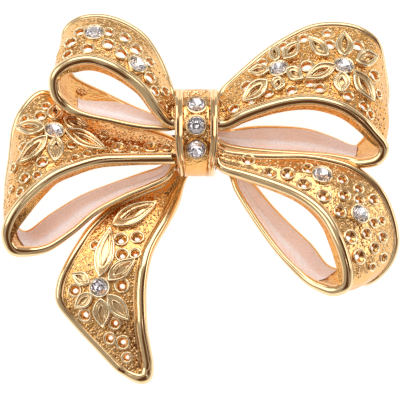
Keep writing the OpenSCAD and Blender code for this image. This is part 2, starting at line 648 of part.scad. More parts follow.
loop_upper_left();
loop_upper_right();
loop_lower_left();
loop_lower_right();
tail();
knot();
enamel_upper_left();
enamel_upper_right();
enamel_lower_left();
enamel_lower_right();
stone_knot_top();
stone_knot_middle();
stone_knot_bottom();
stone_upper_left_outer();
stone_upper_left_inner();
stone_upper_right_outer();
stone_upper_right_inner();
stone_lower_left();
stone_lower_right_outer();
stone_lower_right_inner();
stone_tail();
brooch_pin();
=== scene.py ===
# %% [markdown]
# A bow brooch of gilt cast metal lies on its back on a pale table. Four looped ribbons and a tail of pierced
# filigree are gathered in a barrel-shaped knot, and eleven round stones are set in it. The solids of the CAD
# model give its places and sizes, and this lesson gives it the detail of the real casting. It starts by
# loading that model as a fixed frame.

# %% Load the frame
import math
import random

import bpy
from mathutils import Matrix, Vector


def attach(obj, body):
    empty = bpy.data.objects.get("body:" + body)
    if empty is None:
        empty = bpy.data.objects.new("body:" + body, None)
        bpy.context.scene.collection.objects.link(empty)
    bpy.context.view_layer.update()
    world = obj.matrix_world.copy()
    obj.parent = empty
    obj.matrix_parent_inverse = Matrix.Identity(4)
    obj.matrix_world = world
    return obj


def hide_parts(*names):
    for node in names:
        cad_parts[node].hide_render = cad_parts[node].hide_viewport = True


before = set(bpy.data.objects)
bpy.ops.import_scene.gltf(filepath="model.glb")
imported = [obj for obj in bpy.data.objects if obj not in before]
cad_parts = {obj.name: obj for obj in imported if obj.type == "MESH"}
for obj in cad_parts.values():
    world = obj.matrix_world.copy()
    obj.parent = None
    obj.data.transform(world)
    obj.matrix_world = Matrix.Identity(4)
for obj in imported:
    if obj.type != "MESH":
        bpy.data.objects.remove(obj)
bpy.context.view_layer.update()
bpy.ops.object.select_all(action="DESELECT")

# %% [markdown]
# A jeweller measures in millimetres, and Blender's tools merge points that are closer than a tenth of a
# millimetre, so everything is modelled at one unit to the millimetre. Each finished piece is brought down to
# metres at the end. The sizes below are those of the brooch itself.

# %% Sizes of the brooch, in millimetres
MM = 0.001
draw_half = 28.0  # half side of the square that the outlines are drawn in
bow_depth = 13.0  # height that the rims are shares of
lean = math.radians(15)  # angle off square-on at which the outlines are drawn
settle = Vector((0.0720, -1.0371, 0.8318))  # the drawing's origin to the middle of the lying brooch
gather_w = 5.0  # width below which a ribbon's rims are gathered thinner
camber = 0.35  # height of a ribbon's crown at mid width
web_t = 0.6  # the pierced metal between a ribbon's rims
back_web_t = 0.54  # the plain metal of the bands behind
knot_w = 6.0  # the knot's length along the bow
knot_r = 5.9
knot_wall = 0.85
knot_back = 3.7  # from the knot's axis down to its flat back
knot_axis_z = 6.9
knot_at = (-0.0175, 0.3375)
knot_stone_turns = (22, -6, -36)  # degrees up the bow from facing straight out
stone_r = 1.2
crown_h = 0.5
pavilion_h = 0.5
stone_gap = 0.06  # room beside and under a stone in its bezel
stone_sink = 0.2  # how far a stone lies below the top of its bezel
bezel_r = 1.54
bezel_h = 0.45
voxel = 0.115

# %% [markdown]
# Each ribbon is drawn as crossings: a near point on one rim, which on the loops is the higher one, and a far
# point on the other. The columns are near across, up and height, then far across, up and height. Across and
# up are shares of the drawing's half side, and heights are shares of the bow's depth. The frame holds only
# meshes, so the crossings of the solids are repeated here. Twenty of their points have been moved by a
# millimetre or so at most, to follow the photograph's edge more closely. A root gives the near and the far
# rim's place up the bow and out of it inside the knot, as shares of its hollow's radius.

# %% The ribbons' crossings
upper_left_rows = [
    (-0.145, 0.39, 0.77, -0.13, 0.56, 0.5), (-0.21, 0.455, 0.81, -0.155, 0.64, 0.5),
    (-0.275, 0.545, 0.85, -0.2, 0.74, 0.5), (-0.36, 0.615, 0.88, -0.275, 0.845, 0.52),
    (-0.45, 0.67, 0.92, -0.385, 0.915, 0.54), (-0.545, 0.7, 0.92, -0.5, 0.945, 0.54),
    (-0.63, 0.695, 0.91, -0.615, 0.93, 0.5), (-0.705, 0.665, 0.87, -0.69, 0.865, 0.44),
    (-0.76, 0.605, 0.8, -0.7, 0.75, 0.3), (-0.75, 0.505, 0.7, -0.695, 0.67, 0.14),
    (-0.685, 0.435, 0.64, -0.66, 0.62, 0.04), (-0.595, 0.395, 0.63, -0.6, 0.58, 0.12),
    (-0.475, 0.37, 0.62, -0.505, 0.535, 0.23), (-0.36, 0.345, 0.61, -0.405, 0.485, 0.31),
    (-0.25, 0.33, 0.61, -0.305, 0.44, 0.38), (-0.16, 0.335, 0.61, -0.205, 0.41, 0.46),
]
upper_right_rows = [
    (0.12, 0.375, 0.77, 0.105, 0.565, 0.5), (0.205, 0.415, 0.81, 0.195, 0.655, 0.5),
    (0.315, 0.455, 0.85, 0.32, 0.76, 0.47), (0.43, 0.485, 0.88, 0.445, 0.84, 0.44),
    (0.54, 0.495, 0.91, 0.57, 0.895, 0.43), (0.64, 0.48, 0.91, 0.7, 0.905, 0.43),
    (0.735, 0.445, 0.88, 0.815, 0.88, 0.41), (0.82, 0.385, 0.83, 0.905, 0.81, 0.36),
    (0.885, 0.32, 0.75, 0.937, 0.688, 0.28), (0.945, 0.245, 0.65, 0.955, 0.525, 0.17),
    (0.91, 0.17, 0.55, 0.915, 0.405, 0.08), (0.815, 0.15, 0.49, 0.82, 0.274, 0.05),
    (0.725, 0.17, 0.45, 0.765, 0.252, 0.05), (0.625, 0.19, 0.42, 0.645, 0.304, 0.07),
    (0.5, 0.2, 0.41, 0.525, 0.345, 0.14), (0.35, 0.21, 0.42, 0.375, 0.36, 0.25),
    (0.225, 0.225, 0.43, 0.25, 0.36, 0.32), (0.135, 0.245, 0.45, 0.15, 0.345, 0.36),
]
lower_left_rows = [
    (-0.145, 0.21, 0.65, -0.14, 0.33, 0.42), (-0.24, 0.21, 0.66, -0.25, 0.37, 0.33),
    (-0.375, 0.21, 0.69, -0.4, 0.4, 0.26), (-0.51, 0.2, 0.74, -0.54, 0.46, 0.22),
    (-0.635, 0.16, 0.79, -0.67, 0.515, 0.23), (-0.745, 0.105, 0.82, -0.795, 0.565, 0.3),
    (-0.835, 0.04, 0.82, -0.89, 0.49, 0.32), (-0.915, -0.035, 0.79, -0.945, 0.38, 0.28),
    (-0.977, -0.125, 0.72, -0.965, 0.225, 0.21), (-0.99, -0.205, 0.63, -0.985, 0.075, 0.13),
    (-0.95, -0.28, 0.54, -0.98, -0.06, 0.07), (-0.86, -0.295, 0.46, -0.945, -0.15, 0.05),
    (-0.745, -0.27, 0.41, -0.868, -0.18, 0.05), (-0.62, -0.185, 0.38, -0.745, -0.09, 0.05),
    (-0.5, -0.085, 0.37, -0.595, 0.0, 0.06), (-0.36, -0.01, 0.36, -0.445, 0.06, 0.1),
    (-0.24, 0.045, 0.36, -0.305, 0.115, 0.17), (-0.15, 0.1, 0.37, -0.18, 0.17, 0.27),
]
lower_right_rows = [
    (0.11, 0.155, 0.68, 0.11, 0.265, 0.64), (0.22, 0.12, 0.72, 0.24, 0.25, 0.59),
    (0.35, 0.08, 0.77, 0.375, 0.245, 0.57), (0.475, 0.03, 0.81, 0.515, 0.245, 0.55),
    (0.565, -0.03, 0.84, 0.65, 0.225, 0.54), (0.635, -0.105, 0.86, 0.775, 0.185, 0.51),
    (0.68, -0.19, 0.86, 0.89, 0.1, 0.46), (0.715, -0.28, 0.83, 0.965, -0.02, 0.4),
    (0.735, -0.375, 0.77, 1.005, -0.19, 0.32), (0.725, -0.455, 0.68, 0.965, -0.33, 0.22),
    (0.655, -0.485, 0.57, 0.85, -0.425, 0.11), (0.58, -0.465, 0.49, 0.725, -0.385, 0.05),
    (0.505, -0.42, 0.43, 0.63, -0.345, 0.05), (0.405, -0.32, 0.4, 0.55, -0.24, 0.06),
    (0.32, -0.215, 0.38, 0.445, -0.14, 0.08), (0.235, -0.09, 0.37, 0.355, -0.045, 0.14),
    (0.165, 0.035, 0.37, 0.275, 0.06, 0.22), (0.135, 0.125, 0.38, 0.2, 0.145, 0.3),
]
tail_rows = [
    (-0.12, 0.16, 0.2, -0.04, 0.16, 0.2), (-0.185, 0.085, 0.19, -0.075, 0.09, 0.19),
    (-0.3, 0.052, 0.2, -0.1, 0.0, 0.24), (-0.45, -0.02, 0.23, -0.15, -0.095, 0.33),
    (-0.56, -0.12, 0.29, -0.205, -0.185, 0.41), (-0.622, -0.212, 0.34, -0.24, -0.26, 0.47),
    (-0.68, -0.315, 0.37, -0.26, -0.35, 0.5), (-0.72, -0.415, 0.36, -0.27, -0.45, 0.49),
    (-0.72, -0.51, 0.32, -0.27, -0.56, 0.46), (-0.64, -0.615, 0.27, -0.265, -0.66, 0.41),
    (-0.525, -0.74, 0.24, -0.25, -0.735, 0.35), (-0.425, -0.845, 0.22, -0.235, -0.805, 0.29),
    (-0.36, -0.89, 0.21, -0.23, -0.85, 0.26), (-0.31, -0.92, 0.21, -0.245, -0.895, 0.24),
]
upper_front_root = (0.11, 0.66, 0.7, 0.27)
upper_left_back_root = (0.0, 0.21, 0.45, -0.08)
lower_left_front_root = (-0.78, 0.27, -0.1, -0.17)
lower_left_back_root = (-0.78, -0.37, -0.37, -0.46)
upper_right_back_root = (-0.33, -0.15, 0.12, -0.4)
lower_right_front_root = (-0.72, 0.27, -0.2, 0.5)
lower_right_back_root = (-0.76, -0.37, -0.44, -0.48)

# %% [markdown]
# A crossing becomes two points in space. The outlines are drawn as seen from the camera's lean, so a point
# that stands higher lies lower in the drawing, and its place up the bow allows for that. Between crossings a
# Catmull-Rom curve runs smoothly through the points.

# %% From the drawing to space
def lifted(x, y, z):
    up = (y * draw_half - z * bow_depth * math.sin(lean)) / math.cos(lean)
    return Vector((x * draw_half, up, z * bow_depth)) - settle


def drawn(point):
    at = point + settle
    return Vector((at.x, at.y * math.cos(lean) + at.z * math.sin(lean)))


def along(points, t):
    last = len(points) - 1
    i = min(int(t), last - 1)
    f = t - i
    a, b, c, d = points[max(i - 1, 0)], points[i], points[i + 1], points[min(i + 2, last)]
    return b + f / 2 * (c - a + f * (2 * a - 5 * b + 4 * c - d + f * (3 * (b - c) + d - a)))


knot_centre = lifted(knot_at[0], knot_at[1], knot_axis_z / bow_depth)
knot_hollow_r = knot_r - knot_wall
print("knot centre", knot_centre)

# %% [markdown]
# A ribbon is then a surface with two coordinates: t counts along its crossings, and s runs from 0 at the
# near rim to 1 at the far rim. Its cross-section is a bead, a slightly crowned web and another bead. The
# class below gives a point of the web's face, inside or middle, the middle line of each bead, and the place
# that shows at a point of the drawing. A loop's length is also counted in equal steps, of which the front
# band takes the first ones.

# %% A ribbon's surface
loop_steps, front_steps = 35, 19
root_stations = (0.16, 0.85)  # where a rim is held inside the knot, as shares of its half length
flank_turn = math.radians(25)  # how far round a bead the web's face meets it
FLANK = math.sin(flank_turn)
back_rim_r = 0.42  # the fine rims of the bands behind
thin_from, thin_over = 0.6, 0.12  # where a rim starts to get that fine, and over which share of the loop
rim_reach = 0.2  # share of the width past a rim in which a drawn point still counts as on it
STEP = 0.3  # crossings before and after a point that its heading is taken from
SCAN = 0.1  # crossings between the lines that are searched for a drawn point


def upright(across, out):
    """The turn that lays X across a ribbon and points Z out of its face."""
    return Matrix((across, out.cross(across).normalized(), out)).transposed().to_4x4()


class Ribbon:
    def __init__(self, rows, side, roots=None, near_r=0.8, far_r=0.5):
        near = [lifted(*row[:3]) for row in rows]
        far = [lifted(*row[3:]) for row in rows]
        self.front_share = 1.0
        if roots:
            front, back = roots
            inwards = root_stations[::-1]
            near = self.root(front[:2], side, root_stations) + near + self.root(back[:2], side, inwards)
            far = self.root(front[2:], side, root_stations) + far + self.root(back[2:], side, inwards)
            self.front_share = front_steps / loop_steps
        self.near, self.far, self.side, self.near_r, self.far_r = near, far, side, near_r, far_r
        self.last = len(near) - 1
        self.front_end = self.last * self.front_share
        self.scan = [(k * SCAN, *map(drawn, self.ring(k * SCAN))) for k in range(int(self.front_end / SCAN))]

    def root(self, share, side, stations):
        return [knot_centre + Vector((side * s * knot_w / 2, share[0] * knot_hollow_r,
                                      share[1] * knot_hollow_r)) for s in stations]

    def ring(self, t):
        return along(self.near, t), along(self.far, t)

    def frame(self, t):
        near, far = self.ring(t)
        before, after = self.ring(max(t - STEP, 0)), self.ring(min(t + STEP, self.last))
        heading = (after[0] + after[1] - before[0] - before[1]).normalized()
        across = (far - near).normalized()
        out = (self.side * heading.cross(across)).normalized()
        return near, across, out, (far - near).length

    def web(self, width, q, flank):
        thin = min(1, width / gather_w)
        reach = thin * (1 + math.cos(flank_turn))
        low, high = self.near_r * reach, width - self.far_r * reach
        crest = camber * thin - (self.near_r + self.far_r) / 2 * thin * flank
        if q < width / 2:
            f = max(0, (q - low) / (width / 2 - low))
            return -self.near_r * thin * flank * (1 - f) + crest * f
        f = min(1, (q - width / 2) / (high - width / 2))
        return crest * (1 - f) - self.far_r * thin * flank * f

    def level(self, t, s, flank, lift):
        near, across, out, width = self.frame(t)
        return near + across * s * width + out * (self.web(width, s * width, flank) + lift)

    def face(self, t, s, lift=0.0):
        return self.level(t, s, 1 - FLANK, lift)

    def inside(self, t, s, lift):
        return self.level(t, s, 1 + FLANK, -lift)

    def core(self, t, s):
        return self.level(t, s, 1, 0.0)

    def rim(self, t, at_near):
        thin = min(1, self.frame(t)[3] / gather_w)
        if self.front_share == 1:
            thin = max(thin, t / self.last)
        full = (self.near_r if at_near else self.far_r) * thin
        if self.front_share == 1:
            return full, full
        f = min(1, max(0, (t / self.last - thin_from) / thin_over))
        return full * (1 - f) + min(full, back_rim_r) * f, full

    def bead(self, t, at_near):
        near, across, out, width = self.frame(t)
        r, depth = self.rim(t, at_near)
        q = r if at_near else width - r
        return near + across * q - out * depth, r

    def place(self, x, y):
        at = Vector((x, y)) * draw_half
        for (t0, a0, b0), (t1, a1, b1) in zip(self.scan, self.scan[1:]):
            u = (b0 - a0).cross(at - a0)
            v = (b1 - a1).cross(at - a1)
            if u * v <= 0 and u != v:
                f = u / (u - v)
                a, b = a0.lerp(a1, f), b0.lerp(b1, f)
                s = (at - a).dot(b - a) / (b - a).length_squared
                if -rim_reach < s < 1 + rim_reach:
                    return t0 + (t1 - t0) * f, s
        raise ValueError(f"nothing of the ribbon is drawn at {x}, {y}")

    def seat(self, x, y, lift=0.0):
        t, s = self.place(x, y)
        near, across, out, width = self.frame(t)
        return Matrix.Translation(self.face(t, s, lift)) @ upright(across, out)


ribbons = {
    "upper_left": Ribbon(upper_left_rows, -1, (upper_front_root, upper_left_back_root)),
    "upper_right": Ribbon(upper_right_rows, 1, (upper_front_root, upper_right_back_root)),
    "lower_left": Ribbon(lower_left_rows, -1, (lower_left_front_root, lower_left_back_root), far_r=0.6),
    "lower_right": Ribbon(lower_right_rows, 1, (lower_right_front_root, lower_right_back_root), far_r=0.6),
    "tail": Ribbon(tail_rows, 1, near_r=0.6, far_r=0.85),
}
for name, ribbon in ribbons.items():
    print(name, "crossings", ribbon.last + 1)

# %% [markdown]
# What lies on each ribbon's face is drawn in the same square: the round piercings with their radius,
# the flower petals from root to tip with their width, and the stones with their ribbon. All are shares of
# the half side. Two piercings of the upper left loop lie 0.4 mm farther from its rim than the solid's do.

# %% Piercings, petals and stones
gaps = {
    "upper_left": [
        (-0.65, 0.79, 0.027), (-0.668, 0.735, 0.022), (-0.603, 0.845, 0.022), (-0.563, 0.765, 0.027),
        (-0.458, 0.843, 0.022), (-0.458, 0.783, 0.027), (-0.375, 0.815, 0.024), (-0.39, 0.735, 0.028),
        (-0.32, 0.753, 0.027), (-0.253, 0.69, 0.022), (-0.248, 0.615, 0.026), (-0.22, 0.549, 0.022),
        (-0.175, 0.543, 0.02), (-0.178, 0.475, 0.024),
    ],
    "upper_right": [
        (0.65, 0.78, 0.025), (0.535, 0.67, 0.029), (0.235, 0.57, 0.025), (0.165, 0.46, 0.022),
        (0.455, 0.555, 0.022), (0.6, 0.565, 0.022), (0.31, 0.69, 0.022), (0.42, 0.775, 0.022),
        (0.52, 0.815, 0.022), (0.64, 0.84, 0.018), (0.795, 0.775, 0.025), (0.34, 0.54, 0.02),
        (0.55, 0.59, 0.02), (0.745, 0.525, 0.022), (0.825, 0.475, 0.022), (0.875, 0.625, 0.025),
        (0.86, 0.43, 0.02), (0.25, 0.5, 0.018), (0.85, 0.735, 0.018), (0.895, 0.53, 0.018),
    ],
    "lower_left": [
        (-0.8, 0.425, 0.024), (-0.885, 0.41, 0.017), (-0.77, 0.475, 0.017), (-0.88, 0.265, 0.022),
        (-0.79, 0.195, 0.024), (-0.88, 0.115, 0.024), (-0.815, 0.13, 0.019), (-0.905, 0.045, 0.019),
        (-0.935, 0.16, 0.019), (-0.95, 0.055, 0.014), (-0.64, 0.28, 0.019), (-0.62, 0.215, 0.022),
        (-0.56, 0.24, 0.019), (-0.48, 0.33, 0.019), (-0.405, 0.27, 0.03), (-0.325, 0.26, 0.022),
        (-0.245, 0.27, 0.03), (-0.165, 0.265, 0.017),
    ],
    "lower_right": [
        (0.24, 0.203, 0.028), (0.345, 0.14, 0.03), (0.438, 0.135, 0.03), (0.54, 0.16, 0.024),
        (0.52, 0.085, 0.029), (0.62, 0.025, 0.03), (0.713, 0.105, 0.022), (0.72, 0.025, 0.026),
        (0.795, 0.06, 0.021), (0.795, 0.003, 0.023), (0.87, 0.005, 0.022), (0.7, -0.053, 0.026),
        (0.755, -0.18, 0.031), (0.83, -0.165, 0.022), (0.868, -0.113, 0.021), (0.91, -0.1, 0.017),
        (0.915, -0.185, 0.023), (0.8, -0.28, 0.032), (0.87, -0.238, 0.024), (0.92, -0.288, 0.02),
        (0.86, -0.333, 0.015),
    ],
    "tail": [
        (-0.395, -0.195, 0.03), (-0.315, -0.18, 0.028), (-0.39, -0.27, 0.028), (-0.325, -0.26, 0.022),
        (-0.525, -0.225, 0.02), (-0.625, -0.45, 0.026), (-0.39, -0.425, 0.03), (-0.575, -0.575, 0.026),
        (-0.45, -0.69, 0.024), (-0.385, -0.71, 0.028), (-0.425, -0.615, 0.024), (-0.365, -0.785, 0.02),
    ],
}
petals = {
    "upper_left": [],
    "upper_right": [
        (0.722, 0.71, 0.725, 0.838, 0.08), (0.64, 0.71, 0.55, 0.81, 0.065),
        (0.675, 0.665, 0.53, 0.605, 0.068), (0.708, 0.63, 0.705, 0.535, 0.075),
        (0.77, 0.635, 0.865, 0.49, 0.07), (0.78, 0.69, 0.885, 0.715, 0.075),
        (0.385, 0.69, 0.37, 0.765, 0.05), (0.425, 0.7, 0.5, 0.785, 0.065),
        (0.44, 0.645, 0.515, 0.6, 0.06), (0.4, 0.605, 0.385, 0.545, 0.06),
        (0.345, 0.645, 0.25, 0.635, 0.055), (0.34, 0.59, 0.215, 0.49, 0.068),
    ],
    "lower_left": [
        (-0.775, 0.355, -0.92, 0.36, 0.07), (-0.765, 0.31, -0.9, 0.18, 0.065),
        (-0.72, 0.305, -0.722, 0.19, 0.072), (-0.675, 0.34, -0.47, 0.25, 0.065),
        (-0.685, 0.395, -0.565, 0.355, 0.06), (-0.728, 0.395, -0.73, 0.47, 0.065),
    ],
    "lower_right": [],
    "tail": [
        (-0.5, -0.385, -0.447, -0.145, 0.09), (-0.455, -0.4, -0.325, -0.295, 0.075),
        (-0.455, -0.475, -0.355, -0.595, 0.075), (-0.493, -0.495, -0.48, -0.63, 0.078),
        (-0.54, -0.47, -0.62, -0.535, 0.062), (-0.55, -0.415, -0.635, -0.37, 0.06),
        (-0.44, -0.13, -0.22, -0.02, 0.09),
    ],
}
stones = {
    "upper_left_outer": ("upper_left", -0.53, 0.835), "upper_left_inner": ("upper_left", -0.313, 0.68),
    "upper_right_outer": ("upper_right", 0.72, 0.67), "upper_right_inner": ("upper_right", 0.395, 0.655),
    "lower_left": ("lower_left", -0.73, 0.345), "lower_right_outer": ("lower_right", 0.795, -0.07),
    "lower_right_inner": ("lower_right", 0.61, 0.125), "tail": ("tail", -0.5, -0.4375),
}

# %% [markdown]
# These helpers join, copy and cut pieces, apply a modifier, turn a list of points into a round wire, lay a
# grid on any surface and give it a thickness, and shade a piece smooth but keep its sharp corners. The last
# one brings a piece down to metres, hangs it from an empty, and hides the solids that it takes the place of.

# %% Helpers for modelling
def select(*objects):
    bpy.ops.object.select_all(action="DESELECT")
    for piece in objects:
        piece.select_set(True)
    bpy.context.view_layer.objects.active = objects[0]


def join(pieces, name):
    select(*pieces)
    if len(pieces) > 1:
        bpy.ops.object.join()
    bpy.ops.object.transform_apply(location=True, rotation=True, scale=True)
    piece = bpy.context.object
    piece.name = piece.data.name = name
    return piece


def modify(piece, kind, **settings):
    select(piece)
    modifier = piece.modifiers.new(kind, kind)
    for key, value in settings.items():
        setattr(modifier, key, value)
    bpy.ops.object.modifier_apply(modifier=modifier.name)


def cut(piece, cutters):
    knives = join(cutters, "cutters")
    modify(piece, "BOOLEAN", operation="DIFFERENCE", solver="MANIFOLD", object=knives)
    bpy.data.objects.remove(knives)


def copies(piece, places):
    """A copy of the piece at each place, instead of the piece itself."""
    made = []
    for place in places:
        twin = piece.copy()
        twin.data = piece.data.copy()
        twin.matrix_world = place
        bpy.context.collection.objects.link(twin)
        made.append(twin)
    bpy.data.objects.remove(piece)
    return made


def put(piece, place):
    piece.matrix_world = place
    return piece


def ball(radius, subdivisions):
    bpy.ops.mesh.primitive_ico_sphere_add(subdivisions=subdivisions, radius=radius)
    return bpy.context.object


def torus(radius, wire_r, steps, sides):
    bpy.ops.mesh.primitive_torus_add(major_radius=radius, minor_radius=wire_r, major_segments=steps,
                                     minor_segments=sides)
    return bpy.context.object


def wire(points, radii, sides, closed=False):
    bpy.ops.curve.primitive_nurbs_path_add()
    path = bpy.context.object
    path.data.splines.clear()
    spline = path.data.splines.new("POLY")
    spline.points.add(len(points) - 1)
    for spot, point, radius in zip(spline.points, points, radii):
        spot.co = (*point, 1)
        spot.radius = radius
    spline.use_cyclic_u = closed
    path.data.dimensions = "3D"
    path.data.bevel_depth = 1.0
    path.data.bevel_resolution = (sides - 4) // 2
    path.data.use_fill_caps = not closed
    bpy.ops.object.convert(target="MESH")
    return bpy.context.object


def laid(columns, rows, surface, thickness, bevel=0.0):
    bpy.ops.mesh.primitive_grid_add(x_subdivisions=columns, y_subdivisions=rows, size=1)
    sheet = bpy.context.object
    for corner in sheet.data.vertices:
        u = min(max(corner.co.x + 0.5, 0), 1)
        v = min(max(corner.co.y + 0.5, 0), 1)
        corner.co = surface(u, v)
    modify(sheet, "SOLIDIFY", thickness=thickness, offset=0)
    if bevel:
        modify(sheet, "BEVEL", width=bevel, segments=3, limit_method="ANGLE")
    return sheet


def outwards():
    """Turn all faces of the mesh that is being edited outwards, and end the edit."""
    bpy.ops.mesh.select_all(action="SELECT")
    bpy.ops.mesh.normals_make_consistent(inside=False)
    bpy.ops.object.mode_set(mode="OBJECT")


def smooth(piece, corner):
    select(piece)
    bpy.ops.object.mode_set(mode="EDIT")
    bpy.ops.mesh.select_mode(type="EDGE")
    bpy.ops.mesh.select_all(action="DESELECT")
    bpy.ops.mesh.edges_select_sharp(sharpness=math.radians(corner))
    bpy.ops.mesh.mark_sharp()
    bpy.ops.mesh.select_mode(type="VERT")
    bpy.ops.object.mode_set(mode="OBJECT")
    bpy.ops.object.shade_smooth()


def triangles(piece):
    return sum(len(face.vertices) - 2 for face in piece.data.polygons)


def finish_piece(piece, body, slot, *nodes):
    select(piece)
    piece.scale = (MM, MM, MM)
    bpy.ops.object.transform_apply(location=True, rotation=True, scale=True)
    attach(piece, body)
    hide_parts(*nodes)
    print(piece.name, "triangles", triangles(piece))


# %% [markdown]
# A ribbon's two rims are polished round beads. Each is a wire that follows the bead's middle line, thinner
# where the ribbon is gathered towards the knot, and never lower than the table. A fine wire runs beside each
# bead on the front band. Under the near bead a loop has a wall, which is deepest a little before the loop's
# bend. On the tail one wire runs down the left side, round the tip and up the right side.

# %% The rims
per_crossing = 8  # samples of a rim for each crossing
rim_sides, wire_sides = 20, 8
edge_wire = 0.13  # the fine wire beside a bead, its lift and its first sample
edge_lift = 0.02
edge_start = 4
tail_stop = 0.8  # crossings before the tail's tip at which its web ends
wall_t = 0.62
wall_bevel = 0.18
wall_inset = 0.42  # distance of the wall's middle from the ribbon's edge
wall_foot = 1.6  # least depth of a wall in radii of its bead, and what it gains between its ends
wall_swell = 0.2
skirts = {"upper_left": (0.8, 2.1), "upper_right": (0.78, 1.5), "lower_left": (1.1, 2.3),
          "lower_right": (0.95, 2.1)}  # how deep a wall reaches below the bead, and how near the bend
skirt_start, skirt_end = 2 / loop_steps, front_steps / loop_steps
tip_steps = 16  # samples of each rim that the rounded tip takes the place of
turn_steps = 6  # samples of the tip between two of its points
tail_tip = [(-0.37, -0.858, 0.17, 0.62), (-0.33, -0.878, 0.17, 0.75), (-0.295, -0.886, 0.17, 0.92),
            (-0.272, -0.876, 0.17, 1.0), (-0.265, -0.845, 0.18, 0.98)]  # across, up, height and radius


def front_stop(ribbon):
    return ribbon.front_end if ribbon.front_share < 1 else ribbon.last - tail_stop


def bead_path(ribbon, at_near):
    count = per_crossing * ribbon.last
    spots = [ribbon.bead(k * ribbon.last / count, at_near) for k in range(count + 1)]
    return [Vector((p.x, p.y, max(p.z, r))) for p, r in spots], [r for p, r in spots]


def rims(ribbon):
    near, near_r = bead_path(ribbon, True)
    far, far_r = bead_path(ribbon, False)
    if ribbon.front_share == 1:
        near, near_r, far, far_r = (line[:-tip_steps] for line in (near, near_r, far, far_r))
        turn = [near[-1]] + [lifted(*row[:3]) for row in tail_tip] + [far[-1]]
        swell = [near_r[-1]] + [row[3] for row in tail_tip] + [far_r[-1]]
        steps = [k / turn_steps for k in range(1, turn_steps * (len(tail_tip) + 1))]
        path = near + [along(turn, k) for k in steps] + far[::-1]
        made = [wire(path, near_r + [along(swell, k) for k in steps] + far_r[::-1], rim_sides)]
    else:
        made = [wire(near, near_r, rim_sides), wire(far, far_r, rim_sides)]
    count = int(per_crossing * ribbon.front_end)
    for at_near in (True, False):
        line = []
        for k in range(edge_start, count + 1):
            t = k * front_stop(ribbon) / count
            width = ribbon.frame(t)[3]
            q = 2 * ribbon.rim(t, at_near)[0] / width
            line.append(ribbon.face(t, q if at_near else 1 - q, edge_lift))
        made.append(wire(line, [edge_wire] * len(line), wire_sides))
    return made


def wall(ribbon, depth, bend):
    first, last = skirt_start * ribbon.last, skirt_end * ribbon.last

    def surface(u, v):
        t = first + (last - first) * v
        near, across, out, width = ribbon.frame(t)
        r = ribbon.rim(t, True)[0]
        foot = wall_foot * r + (depth + wall_swell * r) * math.sin(math.pi * v ** bend)
        return near + across * wall_inset * r / ribbon.near_r - out * (r + (foot - r) * u)

    return laid(4, 96, surface, wall_t, wall_bevel)


# %% [markdown]
# The web between the rims starts as a flat grid with some rows of points for each crossing of the ribbon.
# The points are moved onto the ribbon's surface, and a Solidify modifier gives the metal its thickness. The
# front band and the plain back band are two sheets that meet behind the loop's bend.

# %% The web
web_columns = 18
web_rows = 10  # for each crossing
overlap = 0.15  # crossings that the front sheet runs on into the other


def web(ribbon, start, end, thickness):
    def surface(u, v):
        t = start + (end - start) * v
        width = ribbon.frame(t)[3]
        low = ribbon.rim(t, True)[0] / width
        high = 1 - ribbon.rim(t, False)[0] / width
        return ribbon.core(t, low + (high - low) * u)

    return laid(web_columns, int(web_rows * (end - start)), surface, thickness)


# %% [markdown]
# Each piercing has a raised collar, which is a torus laid on the face. A petal is a leaf drawn from its root
# to its tip. It is a raised plate with a wire round its edge, and an eye sunk in its middle that has a finer
# wire round it. All of them are laid on the ribbon's face point by point.

# %% Collars and petals
hole_sides = 28
collar_wire = 0.17
collar_gap = 0.14  # from the edge of a piercing to the middle of its collar's wire
collar_lift = 0.06
petal_wire = 0.21
plate_lift = 0.3  # height of a plate's middle over the face
plate_t = 0.55
rim_lift = plate_lift + plate_t / 2
leaf_trim = 0.03  # share of a leaf that its sheet leaves free at each end
edge_steps = 10  # samples of each side of a leaf's wire
eye_span = (0.2, 0.92)  # where along the petal its eye starts and ends
eye_share = 0.46  # the eye's width as a share of the petal's
eye_trim = 0.001  # keeps the ends of the eye's wire from being one point
eye_margin = 0.04
eye_wire = 0.11
pit_floor = 0.18  # height of the eye's floor over the face
pit_cut_h = 1.0


def collars(ribbon, gaps):
    def collar(r):
        return torus(r * draw_half + collar_gap, collar_wire, hole_sides, 10)

    return [put(collar(r), ribbon.seat(x, y, collar_lift)) for x, y, r in gaps]


class Leaf:
    def __init__(self, ribbon, row):
        self.ribbon = ribbon
        self.root, tip = Vector(row[:2]), Vector(row[2:4])
        self.line = tip - self.root
        self.beside = Vector((-self.line.y, self.line.x)).normalized() * row[4] / 2

    def point(self, f, share, lift):
        p = self.root + self.line * f + self.beside * share
        return self.ribbon.face(*self.ribbon.place(p.x, p.y), lift)

    def half(self, f):
        return math.sin(math.pi * f ** 0.85)

    def eye(self, f):
        first, last = eye_span
        return eye_share * self.half(f) * math.sin(math.pi * (f - first) / (last - first)) ** 0.6

    def sheet(self, first, last, half, margin, lift, thickness):
        def surface(u, v):
            f = first + (last - first) * v
            return self.point(f, (half(f) + margin) * (2 * u - 1), lift)

        return laid(6, 12, surface, thickness)

    def edge(self, first, last, half, lift, radius):
        shares = [first + (last - first) * k / edge_steps for k in range(edge_steps + 1)]
        loop = [self.point(f, half(f), lift) for f in shares]
        loop += [self.point(f, -half(f), lift) for f in reversed(shares[1:-1])]
        return wire(loop, [radius] * len(loop), wire_sides, closed=True)

    def plate(self):
        return self.sheet(leaf_trim, 1 - leaf_trim, self.half, 0.0, plate_lift, plate_t)

    def pit(self):
        first, last = eye_span
        return self.sheet(first + leaf_trim, last - leaf_trim, self.eye, eye_margin,
                          pit_floor + pit_cut_h / 2, pit_cut_h)

    def wires(self):
        first, last = eye_span
        return [self.edge(0.0, 1.0, self.half, rim_lift, petal_wire),
                self.edge(first + eye_trim, last - eye_trim, self.eye, rim_lift + 0.02, eye_wire)]


